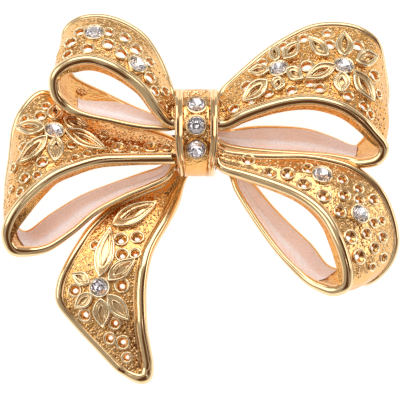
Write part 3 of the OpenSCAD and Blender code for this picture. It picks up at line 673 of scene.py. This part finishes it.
# %% [markdown]
# Between these the casting has small pits and grains, few on some ribbons and many on others. They are
# scattered over the face by a seeded random draw, which keeps each clear of the piercings, the petals, the
# stones and the pits. Only grains may just touch each other.

# %% Small pits and grains
pit_r = 0.26
pit_wire = 0.07
pit_hole_r = pit_r - 0.04
grain_r = 0.19
pit_margin, grain_margin = 0.16, -0.02
collar_room, leaf_room, rim_room = 0.3, 0.15, 0.1
scatter_span = (0.12, 0.93)  # shares of the front band between which they lie
growth = (0.7, 1.25)
flatness = 0.7
draws = {"upper_left": (20, 900), "upper_right": (150, 2600), "lower_left": (60, 1500),
         "lower_right": (10, 700), "tail": (60, 1700)}  # tries for pits, and for grains


def clear_of(point, taken, r):
    return all((point - other).length > r + reach for other, reach in taken)


def scatter(ribbon, gaps, leaves, seats, tries, seed):
    draw = random.Random(seed)
    taken = [(ribbon.seat(x, y).translation, r * draw_half + collar_room) for x, y, r in gaps]
    taken += [(ribbon.seat(x, y).translation, bezel_r) for x, y in seats]
    for leaf in leaves:
        for f in (0.0, 0.17, 0.33, 0.5, 0.67, 0.83, 1.0):
            reach = leaf.beside.length * draw_half * leaf.half(0.1 + 0.8 * f) + leaf_room
            taken.append((leaf.point(f, 0, 0), reach))
    pits, grains = [], []
    kinds = (pit_r, pits, tries[0], pit_margin), (grain_r, grains, tries[1], grain_margin)
    for r, spots, count, margin in kinds:
        for _ in range(count):
            t = draw.uniform(*scatter_span) * ribbon.front_end
            near, across, out, width = ribbon.frame(t)
            low = (2 * ribbon.rim(t, True)[0] + r + rim_room) / width
            high = 1 - (2 * ribbon.rim(t, False)[0] + r + rim_room) / width
            s = low + (high - low) * draw.uniform(0, 1)
            grow = draw.uniform(*growth)
            point = ribbon.face(t, s)
            if high > low and clear_of(point, taken, r * grow + margin):
                size = Matrix.Diagonal((grow, grow, grow * flatness, 1))
                spots.append(Matrix.Translation(point) @ upright(across, out) @ size)
                taken.append((point, r * grow + margin))
    return pits, grains


# %% [markdown]
# A stone sits in a plain bezel: a cup that is spun from its profile. Under each cup, and at each piercing,
# pit and petal's eye, metal is cut away by one Boolean with all the cutters joined. A piercing's cutter is a
# funnel, so that its walls catch the light.

# %% Bezels and cutters
throats = {"upper_left": 0.82, "upper_right": 0.76, "lower_left": 0.5, "lower_right": 0.3, "tail": 0.32}
throat_least = 0.2  # the narrowest that a piercing gets at the web's back
above, below = 0.6, 0.6  # how far a piercing's cutter reaches past the face and past the web's back
bezel_foot = -0.6
well_margin = 0.15  # how much wider than its stone the cut under a bezel is
well_low, well_high = -0.4, 2.0
pit_low, pit_high = -0.16, 1.0


def spun(profile, steps, axis):
    bpy.ops.mesh.primitive_circle_add(vertices=len(profile), radius=1)
    ring = bpy.context.object
    for corner, place in zip(ring.data.vertices, profile):
        corner.co = place
    bpy.ops.object.mode_set(mode="EDIT")
    bpy.ops.mesh.select_all(action="SELECT")
    bpy.ops.mesh.spin(steps=steps, angle=2 * math.pi, center=(0, 0, 0), axis=axis)
    bpy.ops.mesh.select_all(action="SELECT")
    bpy.ops.mesh.remove_doubles(threshold=0.001)
    outwards()
    return ring


def bezel(place):
    bottom = bezel_h - stone_sink - pavilion_h - stone_gap
    inner = stone_r + stone_gap
    profile = [(0, bezel_foot), (bezel_r, bezel_foot), (bezel_r, bezel_h - 0.12),
               (bezel_r - 0.05, bezel_h - 0.03), (bezel_r - 0.13, bezel_h), (inner + 0.06, bezel_h),
               (inner, bezel_h - 0.06), (inner, bottom), (0, bottom)]
    return put(spun([(x, 0, z) for x, z in profile], 48, (0, 0, 1)), place)


def round_bar(r, low, high, sides):
    bpy.ops.mesh.primitive_cylinder_add(vertices=sides, radius=r, depth=high - low,
                                        location=(0, 0, (low + high) / 2))
    bpy.ops.object.transform_apply(location=True)
    return bpy.context.object


def well(place):
    return put(round_bar(stone_r + well_margin, well_low, well_high, 32), place)


def funnel(r, throat):
    """A piercing's cutter: as wide as the drawn hole at the face, and narrower at the web's back."""
    back = max(throat_least, r * throat)
    top = r + (r - back) * above / web_t
    bpy.ops.mesh.primitive_circle_add(vertices=hole_sides, radius=back, fill_type="NGON",
                                      location=(0, 0, -web_t - below))
    bar = bpy.context.object
    bpy.ops.object.transform_apply(location=True)
    bpy.ops.object.mode_set(mode="EDIT")
    bpy.ops.mesh.select_all(action="SELECT")
    bpy.ops.mesh.extrude_region_move(TRANSFORM_OT_translate={"value": (0, 0, below)})
    bpy.ops.mesh.extrude_region_move(TRANSFORM_OT_translate={"value": (0, 0, web_t + above)})
    bpy.ops.transform.resize(value=(top / back, top / back, 1))
    outwards()
    return bar


def cutters(ribbon, gaps, leaves, seats, pits, throat):
    made = [leaf.pit() for leaf in leaves]
    made += [put(funnel(r * draw_half, throat), ribbon.seat(x, y)) for x, y, r in gaps]
    made += [well(ribbon.seat(x, y)) for x, y in seats]
    return made + copies(round_bar(pit_hole_r, pit_low, pit_high, 12), pits)


# %% [markdown]
# All that is cast in one is now fused. The front sheet and the petals' plates are joined, a voxel Remesh
# makes one skin of them, the cutters are taken away, and a second Remesh and a light smoothing round the cut
# edges off as casting and plating do. Decimate then thins a skin that has more triangles than it needs. The
# vertices of this rough cast field are marked by an attribute, so that its finish can differ from that of
# the polished rims: it is rough, and it is painted a deep orange as painted shade. The fine wires and the
# bezels are burnished, and have a mark of their own that paints them paler, as a painted highlight. The back
# bands carry the field's mark and its painted shade too. One loop also has a rosette of grains on the inner
# face of its back band.

# %% Cast one ribbon
field_most = 100000  # triangles that a cast field is thinned to
# How rough each field and the bands behind are; the same share paints them a deep orange, as painted shade.
field_roughness_and_shade = {"upper_left": 0.7, "upper_right": 1.0, "lower_left": 0.8, "lower_right": 0.6, "tail": 0.9}
back_roughness_and_shade = 1.0
# Mark of the burnished wires and bezels, which are painted paler as a painted highlight.
burnished_highlight = -1.0
polished_from = 0.13  # height over the web from which a plate counts as polished, and is not painted orange as shade
rosettes = {"upper_left": (13.0, 0.7)}  # crossing and share of the width at which one lies
rosette_r = 0.62
rosette_grain_r = 0.24
rosette_lift = 0.05


def mark(piece, values):
    """Note at each vertex how rough the casting is there and how deep its painted orange shade is, or that
    burnishing and a painted highlight make it paler.
    """
    piece.data.attributes.new("cast_field_and_shade", "FLOAT", "POINT").data.foreach_set("value", values)


def front_web(ribbon):
    return web(ribbon, 0, front_stop(ribbon) + overlap, web_t)


def rosette(ribbon, t, s):
    """A grain with eight more round it, on the inner face of the band behind."""
    near, across, out, width = ribbon.frame(t)
    line = out.cross(across).normalized()
    middle = ribbon.inside(t, s, rosette_lift)
    spots = [middle]
    for k in range(8):
        a = k * math.pi / 4
        spots.append(middle + rosette_r * (math.cos(a) * across + math.sin(a) * line))
    return copies(ball(rosette_grain_r, 2), [Matrix.Translation(spot) for spot in spots])


def mark_field(field, ribbon, roughness_and_shade):
    bed = front_web(ribbon)
    values = []
    for corner in field.data.vertices:
        found, place, normal, face = bed.closest_point_on_mesh(corner.co)
        values.append(roughness_and_shade * ((corner.co - place).dot(normal) < polished_from))
    bpy.data.objects.remove(bed)
    mark(field, values)


def cast(key, name, seed):
    ribbon, holes = ribbons[key], gaps[key]
    seats = [(x, y) for home, x, y in stones.values() if home == key]
    leaves = [Leaf(ribbon, row) for row in petals[key]]
    pits, grains = scatter(ribbon, holes, leaves, seats, draws[key], seed)
    field = join([front_web(ribbon)] + [leaf.plate() for leaf in leaves], name)
    modify(field, "REMESH", mode="VOXEL", voxel_size=voxel, adaptivity=0)
    cut(field, cutters(ribbon, holes, leaves, seats, pits, throats[key]))
    modify(field, "REMESH", mode="VOXEL", voxel_size=voxel, adaptivity=0)
    modify(field, "SMOOTH", factor=0.5, iterations=2)
    modify(field, "DECIMATE", ratio=min(1, field_most / triangles(field)))
    # Low parts of the field are marked rough and painted deep orange as painted shade; raised plates are
    # not.
    mark_field(field, ribbon, field_roughness_and_shade[key])
    wires = collars(ribbon, holes)
    for leaf in leaves:
        wires += leaf.wires()
    wires = join(wires + [bezel(ribbon.seat(x, y)) for x, y in seats], name)
    # The wires and bezels get a mark that paints them paler, as a painted highlight.
    mark(wires, [burnished_highlight] * len(wires.data.vertices))
    parts = [field, wires] + rims(ribbon)
    if ribbon.front_share < 1:
        back = [wall(ribbon, *skirts[key]), web(ribbon, ribbon.front_end, ribbon.last, back_web_t)]
        back = join(back, name)
        # The back bands are marked rough and painted deep orange, as painted shade inside the loops.
        mark(back, [back_roughness_and_shade] * len(back.data.vertices))
        parts.append(back)
    if key in rosettes:
        parts += rosette(ribbon, *rosettes[key])
    parts += copies(torus(pit_r, pit_wire, 14, 6), pits) + copies(ball(grain_r, 2), grains)
    casting = join(parts, name)
    smooth(casting, 50)
    print(name, "pits", len(pits), "grains", len(grains))
    return casting


castings = {}
for seed, name in enumerate(ribbons):
    node = name if name == "tail" else "loop_" + name
    castings[node] = cast(name, node + "_casting", seed)

# %% [markdown]
# The back band of each loop carries pale pink enamel on its inner face. It is a grid laid in the hollow
# between the beads, given its thickness by Solidify and a soft edge by Bevel. On the upper left loop its
# upper edge runs low at the bend and rises towards the knot, and plain gold shows above it.

# %% The enamel
enamel_t = 0.16
enamel_margin = 1.6  # radii of a bead from the ribbon's edge to the enamel
enamel_starts = {"upper_left": 23.5, "upper_right": 22.4, "lower_left": 21.3, "lower_right": 22.2}
enamel_end = 33.5  # steps of the loop, as the starts are
upper_edges = {"upper_left": [(13.0, 0.45), (14.0, 0.62), (14.7, 0.78), (15.3, 0.86), (19.0, 0.86)]}


def between(table, t):
    for (t0, v0), (t1, v1) in zip(table, table[1:]):
        if t <= t1:
            return v0 + (v1 - v0) * max(0, t - t0) / (t1 - t0)
    return table[-1][1]


def enamel(key, first):
    ribbon, table = ribbons[key], upper_edges.get(key)
    start, end = first * ribbon.last / loop_steps, enamel_end * ribbon.last / loop_steps

    def surface(u, v):
        t = start + (end - start) * v
        near, across, out, width = ribbon.frame(t)
        low = enamel_margin * ribbon.rim(t, True)[0] / width
        high = between(table, t) if table else 1 - enamel_margin * ribbon.rim(t, False)[0] / width
        return ribbon.core(t, low + (high - low) * u) - out * (web_t + enamel_t) / 2

    sheet = laid(10, 90, surface, enamel_t, 0.1)
    sheet.name = "enamel_fill_" + key
    bpy.ops.object.shade_smooth()
    return sheet


enamels = {name: enamel(name, first) for name, first in enamel_starts.items()}

# %% [markdown]
# The knot is a ring spun round the brooch's long axis, and drawn out a little up the bow. Its profile has a
# plain strip in the middle for the stones and a ridge of two rounded lines at each side, which fade where
# the ring turns away from the camera. It is gathered a little narrower towards its lower end. The ring's
# back is cut flat, and a plate closes it. Grains lie on the strip: two pairs between the stones, and finer
# ones from a seeded draw.

# %% The knot
ridge_line = [(3.0, -0.3), (3.0, 0.16), (2.95, 0.3), (2.86, 0.4), (2.74, 0.44), (2.6, 0.4), (2.48, 0.3),
              (2.38, 0.26), (2.28, 0.3), (2.18, 0.38), (2.06, 0.42), (1.94, 0.36), (1.86, 0.22), (1.8, 0.08),
              (1.7, 0.0)]  # across, and the rise over the knot's radius
strip_line = [(1.2, -0.03), (0.6, 0.0)]
strip_edge = 1.7  # half width of the strip that is rough and painted orange as painted shade, and how much
strip_roughness_and_shade = 0.9
knot_stretch = 1.045  # the knot's size up the bow over its depth
ridge_fade = 1.5
gather = 0.2  # share of its length that the knot loses at its lower end
gather_from = 0.35  # share of its radius below the middle where that starts
back_plate_l = 8.6
pair_turns, pair_x, pair_r, pair_lift = (8, -21), 1.25, 0.24, 0.02
fine_tries, fine_seed, fine_half_w, fine_turns = 220, 7, 1.55, (-50, 58)
fine_r, fine_lift, fine_room = (0.13, 0.24), -0.02, 0.1


def knot_profile():
    right = [(x, knot_r + rise) for x, rise in ridge_line + strip_line]
    outer = [(-x, r) for x, r in right] + [(x, r) for x, r in reversed(right)]
    return [(x, r, 0) for x, r in outer + [(knot_w / 2, knot_hollow_r), (-knot_w / 2, knot_hollow_r)]]


def knot_ring():
    ring = spun(knot_profile(), 160, (1, 0, 0))
    bpy.ops.object.mode_set(mode="EDIT")
    bpy.ops.mesh.select_all(action="SELECT")
    bpy.ops.mesh.bisect(plane_co=(0, 0, -knot_back), plane_no=(0, 0, -1), use_fill=True, clear_outer=True)
    bpy.ops.object.mode_set(mode="OBJECT")
    for corner in ring.data.vertices:
        place = corner.co
        r = math.hypot(place.y, place.z)
        if r > knot_r:
            facing = max(0, place.z * math.cos(lean) - place.y * math.sin(lean)) / r
            r_new = knot_r + (r - knot_r) * min(1, ridge_fade * facing)
            place.y *= r_new / r
            place.z *= r_new / r
        low = min(1, max(0, -place.y / knot_r - gather_from) / (1 - gather_from))
        place.x *= 1 - gather * low * low
        place.y *= knot_stretch
    # The strip is marked rough and painted deep orange, as painted shade.
    mark(ring, [strip_roughness_and_shade * (abs(corner.co.x) < strip_edge) for corner in ring.data.vertices])
    return put(ring, Matrix.Translation(knot_centre))


def knot_seat(turn, x=0.0, lift=0.0):
    a = math.radians(turn)
    out = Vector((0, math.sin(a), math.cos(a)))
    place = (knot_r + lift) * Vector((0, knot_stretch * out.y, out.z))
    turned = Matrix(((1, 0, 0), (0, math.cos(a), -math.sin(a)), out)).transposed().to_4x4()
    return Matrix.Translation(knot_centre + place) @ turned @ Matrix.Translation((x, 0, 0))


def fine_grains():
    """Places and sizes of the strip's fine grains, none of them on a bezel."""
    draw = random.Random(fine_seed)
    seats = [(0, knot_r * math.radians(turn)) for turn in knot_stone_turns]
    spots = []
    for _ in range(fine_tries):
        x, turn = draw.uniform(-fine_half_w, fine_half_w), draw.uniform(*fine_turns)
        if all(math.dist((x, knot_r * math.radians(turn)), seat) > bezel_r + fine_room for seat in seats):
            spots.append(knot_seat(turn, x, fine_lift) @ Matrix.Scale(draw.uniform(*fine_r), 4))
    return spots


def knot():
    body = join([knot_ring()], "knot_band")
    cut(body, [well(knot_seat(turn)) for turn in knot_stone_turns])
    behind = knot_centre + Vector((0, 0, -knot_back + knot_wall / 2))
    bpy.ops.mesh.primitive_cube_add(size=1, location=behind, scale=(knot_w, back_plate_l, knot_wall))
    parts = [body, bpy.context.object] + [bezel(knot_seat(turn)) for turn in knot_stone_turns]
    pairs = [knot_seat(turn, x, pair_lift) for turn in pair_turns for x in (-pair_x, pair_x)]
    parts += copies(ball(pair_r, 3), pairs) + copies(ball(1, 1), fine_grains())
    body = join(parts, "knot_band")
    smooth(body, 40)
    return body


knot_band = knot()

# %% [markdown]
# A gem cutter grinds a stone flat by flat, and so does this cell. A short cylinder is bisected by one plane
# for each facet, and what lies outside the plane is cleared away. Each facet is given by the angle of its
# face and by a point that it passes through. One stone is cut, and every seat gets a copy of it. The lower
# facets are marked by an attribute, because they are foiled and are painted with a faint glow.

# %% Cut the stone
table_r = 0.56 * stone_r  # the flat top
girdle = 0.04  # half the height of the stone's edge


def facet(angle, turn, reach, height):
    a, e = math.radians(turn), math.radians(angle)
    normal = (math.sin(e) * math.cos(a), math.sin(e) * math.sin(a), math.cos(e))
    point = (reach * math.cos(a), reach * math.sin(a), height)
    bpy.ops.mesh.select_all(action="SELECT")
    bpy.ops.mesh.bisect(plane_co=point, plane_no=normal, use_fill=True, clear_outer=True)


def cut_stone():
    bpy.ops.mesh.primitive_cylinder_add(vertices=64, radius=stone_r, depth=2)
    stone = bpy.context.object
    bpy.ops.object.mode_set(mode="EDIT")
    crown = math.degrees(math.atan(crown_h / (stone_r - table_r)))
    keel = 180 - math.degrees(math.atan(pavilion_h / stone_r))
    facet(0, 0, 0, crown_h)
    for k in range(8):
        facet(crown, 45 * k, stone_r, girdle)
        facet(keel, 45 * k, stone_r, -girdle)
    for k in range(16):
        facet(crown + 7, 22.5 * k + 11.25, stone_r * 0.995, girdle)
        facet(keel - 5, 22.5 * k + 11.25, stone_r * 0.995, -girdle)
    for k in range(8):
        facet(crown - 15, 45 * k + 22.5, table_r * math.cos(math.radians(22.5)) * 1.04, crown_h)
    bpy.ops.object.mode_set(mode="OBJECT")
    foil = stone.data.attributes.new("foil", "FLOAT", "FACE")
    foil.data.foreach_set("value", [float(face.normal.z < -0.2) for face in stone.data.polygons])
    return stone


master = cut_stone()
print("facets", len(master.data.polygons))
stone_lift = bezel_h - stone_sink
seats = {name: ribbons[home].seat(x, y, stone_lift) for name, (home, x, y) in stones.items()}
for name, turn in zip(("knot_top", "knot_middle", "knot_bottom"), knot_stone_turns):
    seats[name] = knot_seat(turn, lift=stone_lift)
stone_pieces = dict(zip(seats, copies(master, seats.values())))

# %% [markdown]
# The finishes follow. One small class wraps a socket so that shader maths reads as plain Python, and one
# method adds any other node.

# %% Shader helpers
class Link:
    def __init__(self, finish, socket):
        self.finish, self.socket = finish, socket

    def maths(self, operation, *values, clamp=False):
        return self.finish.node("ShaderNodeMath", {"operation": operation, "use_clamp": clamp}, *values)

    def __add__(self, other):
        return self.maths("ADD", self, other)

    def __sub__(self, other):
        return self.maths("SUBTRACT", self, other)

    def __rsub__(self, other):
        return self.maths("SUBTRACT", other, self)

    def __mul__(self, other):
        return self.maths("MULTIPLY", self, other)

    def clamped(self):
        return self.maths("ADD", self, 0, clamp=True)

    __radd__, __rmul__ = __add__, __mul__


class Finish:
    def __init__(self, name):
        self.material = bpy.data.materials.new(name)
        self.material.use_nodes = True
        self.nodes = self.material.node_tree.nodes
        self.links = self.material.node_tree.links
        self.shader = self.nodes["Principled BSDF"]
        self.place = self.node("ShaderNodeTexCoord", {}, output="Object")

    def feed(self, socket, value):
        if isinstance(value, Link):
            self.links.new(value.socket, socket)
        else:
            socket.default_value = value

    def node(self, kind, settings, *values, output=0, **named):
        made = self.nodes.new(kind)
        for key, value in settings.items():
            setattr(made, key, value)
        for socket, value in zip(made.inputs, values):
            self.feed(socket, value)
        for key, value in named.items():
            self.feed(made.inputs[key], value)
        return Link(self, made.outputs[output])

    def mix(self, factor, low, high):
        made = self.nodes.new("ShaderNodeMix")
        made.data_type = "RGBA"
        self.feed(made.inputs[0], factor)
        self.feed(made.inputs[6], low)
        self.feed(made.inputs[7], high)
        return Link(self, made.outputs[2])

    def noise(self, size, detail):
        return self.node("ShaderNodeTexNoise", {}, Vector=self.place, Scale=1 / (size * MM), Detail=detail)

    def mark(self, name):
        return self.node("ShaderNodeAttribute", {"attribute_name": name}, output="Fac")

    def set(self, **sockets):
        for key, value in sockets.items():
            self.feed(self.shader.inputs[key.replace("_", " ")], value)


# %% [markdown]
# Gilding is painted a deep orange in the pits and round the grains, as painted shade, and paler on the
# ridges, as a painted highlight; Pointiness tells ridges from hollows. The marked cast field is painted a
# deep orange as painted shade too, and a fine noise makes it pebbly and varies its tone at random. The
# polished rims stay smooth, and the burnished wires and bezels are painted paler, as a painted highlight.

# %% Gold
def gold():
    finish = Finish("gilt_cast")
    cast_and_shade_mark = finish.mark("cast_field_and_shade")
    field = cast_and_shade_mark.clamped()
    # Pointiness paints the hollows deep orange, as painted shade, and the ridges paler, as a painted
    # highlight.
    ridge = finish.node("ShaderNodeNewGeometry", {}, output="Pointiness")
    high = ((ridge - 0.5) * 9 + 0.75).clamped()
    speckle = finish.noise(0.6, 2)
    tone = finish.mix(high, (0.80, 0.36, 0.10, 1), (0.90, 0.65, 0.36, 1))
    # The marked cast field is painted a deeper orange as painted shade, varied at random by the speckle.
    tone = finish.mix(field * (speckle * 0.7 + 0.4), tone, (0.84, 0.40, 0.09, 1))
    # Burnished wires and bezels are painted paler, as a painted highlight.
    tone = finish.mix((0 - cast_and_shade_mark).clamped(), tone, (0.96, 0.78, 0.50, 1))
    pebbles = finish.noise(0.7, 1) + finish.noise(0.3, 1) * 0.5
    bump = finish.node("ShaderNodeBump", {}, Strength=0.9, Distance=0.16 * MM, Height=pebbles * field)
    finish.set(Base_Color=tone, Metallic=1.0, Roughness=speckle * 0.1 + field * 0.1 + 0.08, Normal=bump)
    return finish.material


# %% [markdown]
# The enamel is a pearly pale pink whose tone drifts at random towards lilac, under a glossy coat. Fine
# specks of lilac white are painted glints, and a lighter lilac-white streak along each band, a little nearer
# its near edge and patchy with the drift, is a painted reflection.

# %% Enamel
def pearl_enamel():
    finish = Finish("pearl_enamel")
    drift = finish.noise(3.0, 2)
    grain = finish.noise(0.35, 3)
    tone = finish.mix((drift * 2.2 - 0.6).clamped(), (0.93, 0.66, 0.55, 1), (0.93, 0.75, 0.72, 1))
    # Fine specks of lilac white from the grain are painted glints.
    tone = finish.mix((grain * 2 - 0.85).clamped() * 0.4, tone, (0.97, 0.90, 0.92, 1))
    # A lighter streak along the band, patchy with the drift, is a painted reflection.
    spread = finish.node("ShaderNodeTexCoord", {}, output="UV")
    across = finish.node("ShaderNodeSeparateXYZ", {}, spread, output="X")
    reflection_streak = (1.3 - across.maths("ABSOLUTE", across - 0.3) * 6).clamped()
    tone = finish.mix(reflection_streak * drift, tone, (0.96, 0.92, 0.96, 1))
    finish.set(Base_Color=tone, Roughness=grain * 0.2 + 0.18, Coat_Weight=0.5, Coat_Roughness=0.08)
    return finish.material


# %% [markdown]
# The stones are clear glass with a silvery foil on their lower facets, which throws the light back out. The
# foiled facets also glow faintly, which is painted light.

# %% Crystal
def crystal():
    finish = Finish("foiled_crystal")
    foil = finish.mark("foil")
    # The foiled facets glow faintly, as painted light.
    painted_glow = finish.mix(foil, (0, 0, 0, 1), (0.84, 0.78, 0.82, 1))
    finish.set(Base_Color=(0.96, 0.93, 0.94, 1), Metallic=foil, Roughness=0.02, IOR=1.6)
    finish.set(Transmission_Weight=1.0, Emission_Color=painted_glow, Emission_Strength=0.05)
    return finish.material


gilt = gold()
pearl = pearl_enamel()
glass = crystal()


def dress(piece, material):
    piece.data.materials.clear()
    piece.data.materials.append(material)


for node, piece in castings.items():
    dress(piece, gilt)
    finish_piece(piece, "root", "gold", node)
dress(knot_band, gilt)
finish_piece(knot_band, "root", "gold", "knot")
for name, piece in enamels.items():
    dress(piece, pearl)
    finish_piece(piece, "root", "pink_enamel", "enamel_" + name)
for name, piece in stone_pieces.items():
    dress(join([piece], "cut_stone_" + name), glass)
    finish_piece(piece, "root", "crystal", "stone_" + name)
dress(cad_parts["brooch_pin"], gilt)

# %% [markdown]
# The stage is a plain pale floor that the brooch lies on, with large soft lights round it and one narrow
# strip that draws a bright line in the metal. The broadest light fills the shadows but isn't mirrored.
# Polished metal shows what is around it, so dark brown cards in front and at the right give the gilding its
# brown streaks. The cards are seen in reflections alone: they throw no shadow, and the camera and what is
# seen through the stones pass them by.

# %% Stage, light and camera
bpy.ops.mesh.primitive_circle_add(vertices=64, radius=1.5, fill_type="NGON")
floor = bpy.context.object
floor.name = "floor"
paper = Finish("paper")
paper.set(Base_Color=(0.35, 0.35, 0.35, 1), Roughness=1.0)
paper.set(Emission_Color=(1, 1, 1, 1), Emission_Strength=0.86)
dress(floor, paper.material)

umber = Finish("umber_card")
umber.set(Base_Color=(0.10, 0.045, 0.02, 1), Roughness=1.0, Specular_IOR_Level=0.0)
card_reach = 0.45


def card(name, turns, heights):
    """A patch of a sphere round the brooch, between two turns about Z and two heights over the floor."""
    bpy.ops.mesh.primitive_grid_add(x_subdivisions=12, y_subdivisions=12, size=1)
    sheet = bpy.context.object
    sheet.name = name
    for corner in sheet.data.vertices:
        a = math.radians(turns[0] + (turns[1] - turns[0]) * (corner.co.x + 0.5))
        e = math.radians(heights[0] + (heights[1] - heights[0]) * (corner.co.y + 0.5))
        corner.co = card_reach * Vector((math.cos(e) * math.cos(a), math.cos(e) * math.sin(a), math.sin(e)))
    sheet.visible_camera = False
    sheet.visible_diffuse = False
    sheet.visible_shadow = False
    sheet.visible_transmission = False
    dress(sheet, umber.material)


card("front_card", (-125, -55), (18, 78))
card("right_card", (-30, 30), (30, 75))


def lamp(name, place, size, power):
    bpy.ops.object.light_add(type="AREA", location=place)
    light = bpy.context.object
    light.name = name
    light.data.shape = "RECTANGLE"
    light.data.size, light.data.size_y = size
    light.data.energy = power
    light.rotation_euler = (-Vector(place)).to_track_quat("-Z", "Y").to_euler()
    return light


fill = lamp("fill", (0.0, -0.2, 0.5), (0.6, 0.5), 1.0)
fill.visible_glossy = False
lamp("strip", (0.06, -0.16, 0.5), (0.4, 0.05), 0.09)
lamp("top", (0.0, 0.33, 0.4), (0.5, 0.28), 1.0)
lamp("left", (-0.36, 0.05, 0.36), (0.35, 0.3), 0.6)
lamp("right", (0.47, 0.12, 0.17), (0.3, 0.12), 0.25)

world = bpy.data.worlds.new("studio") if not bpy.data.worlds else bpy.data.worlds[0]
bpy.context.scene.world = world
world.use_nodes = True
world.node_tree.nodes["Background"].inputs["Color"].default_value = (1.0, 0.97, 0.93, 1)
world.node_tree.nodes["Background"].inputs["Strength"].default_value = 0.45

bpy.context.scene.view_settings.view_transform = "Standard"

# %% [markdown]
# The camera looks down at the photograph's angle, from a metre off and through a long lens. Its picture is
# as wide there as the square that the outlines are drawn in.

# %% The camera
distance = 1.0
sensor = 36
aim_lift = 0.006
towards = Vector((0, -math.sin(lean), math.cos(lean)))
aim = -settle * MM + towards * aim_lift
bpy.ops.object.camera_add(location=aim + towards * distance)
camera = bpy.context.object
camera.rotation_euler = (lean, 0, 0)
camera.data.sensor_width = sensor
camera.data.lens = sensor * distance / (2 * draw_half * MM)
camera.data.clip_start, camera.data.clip_end = 0.01, 10
bpy.context.scene.camera = camera
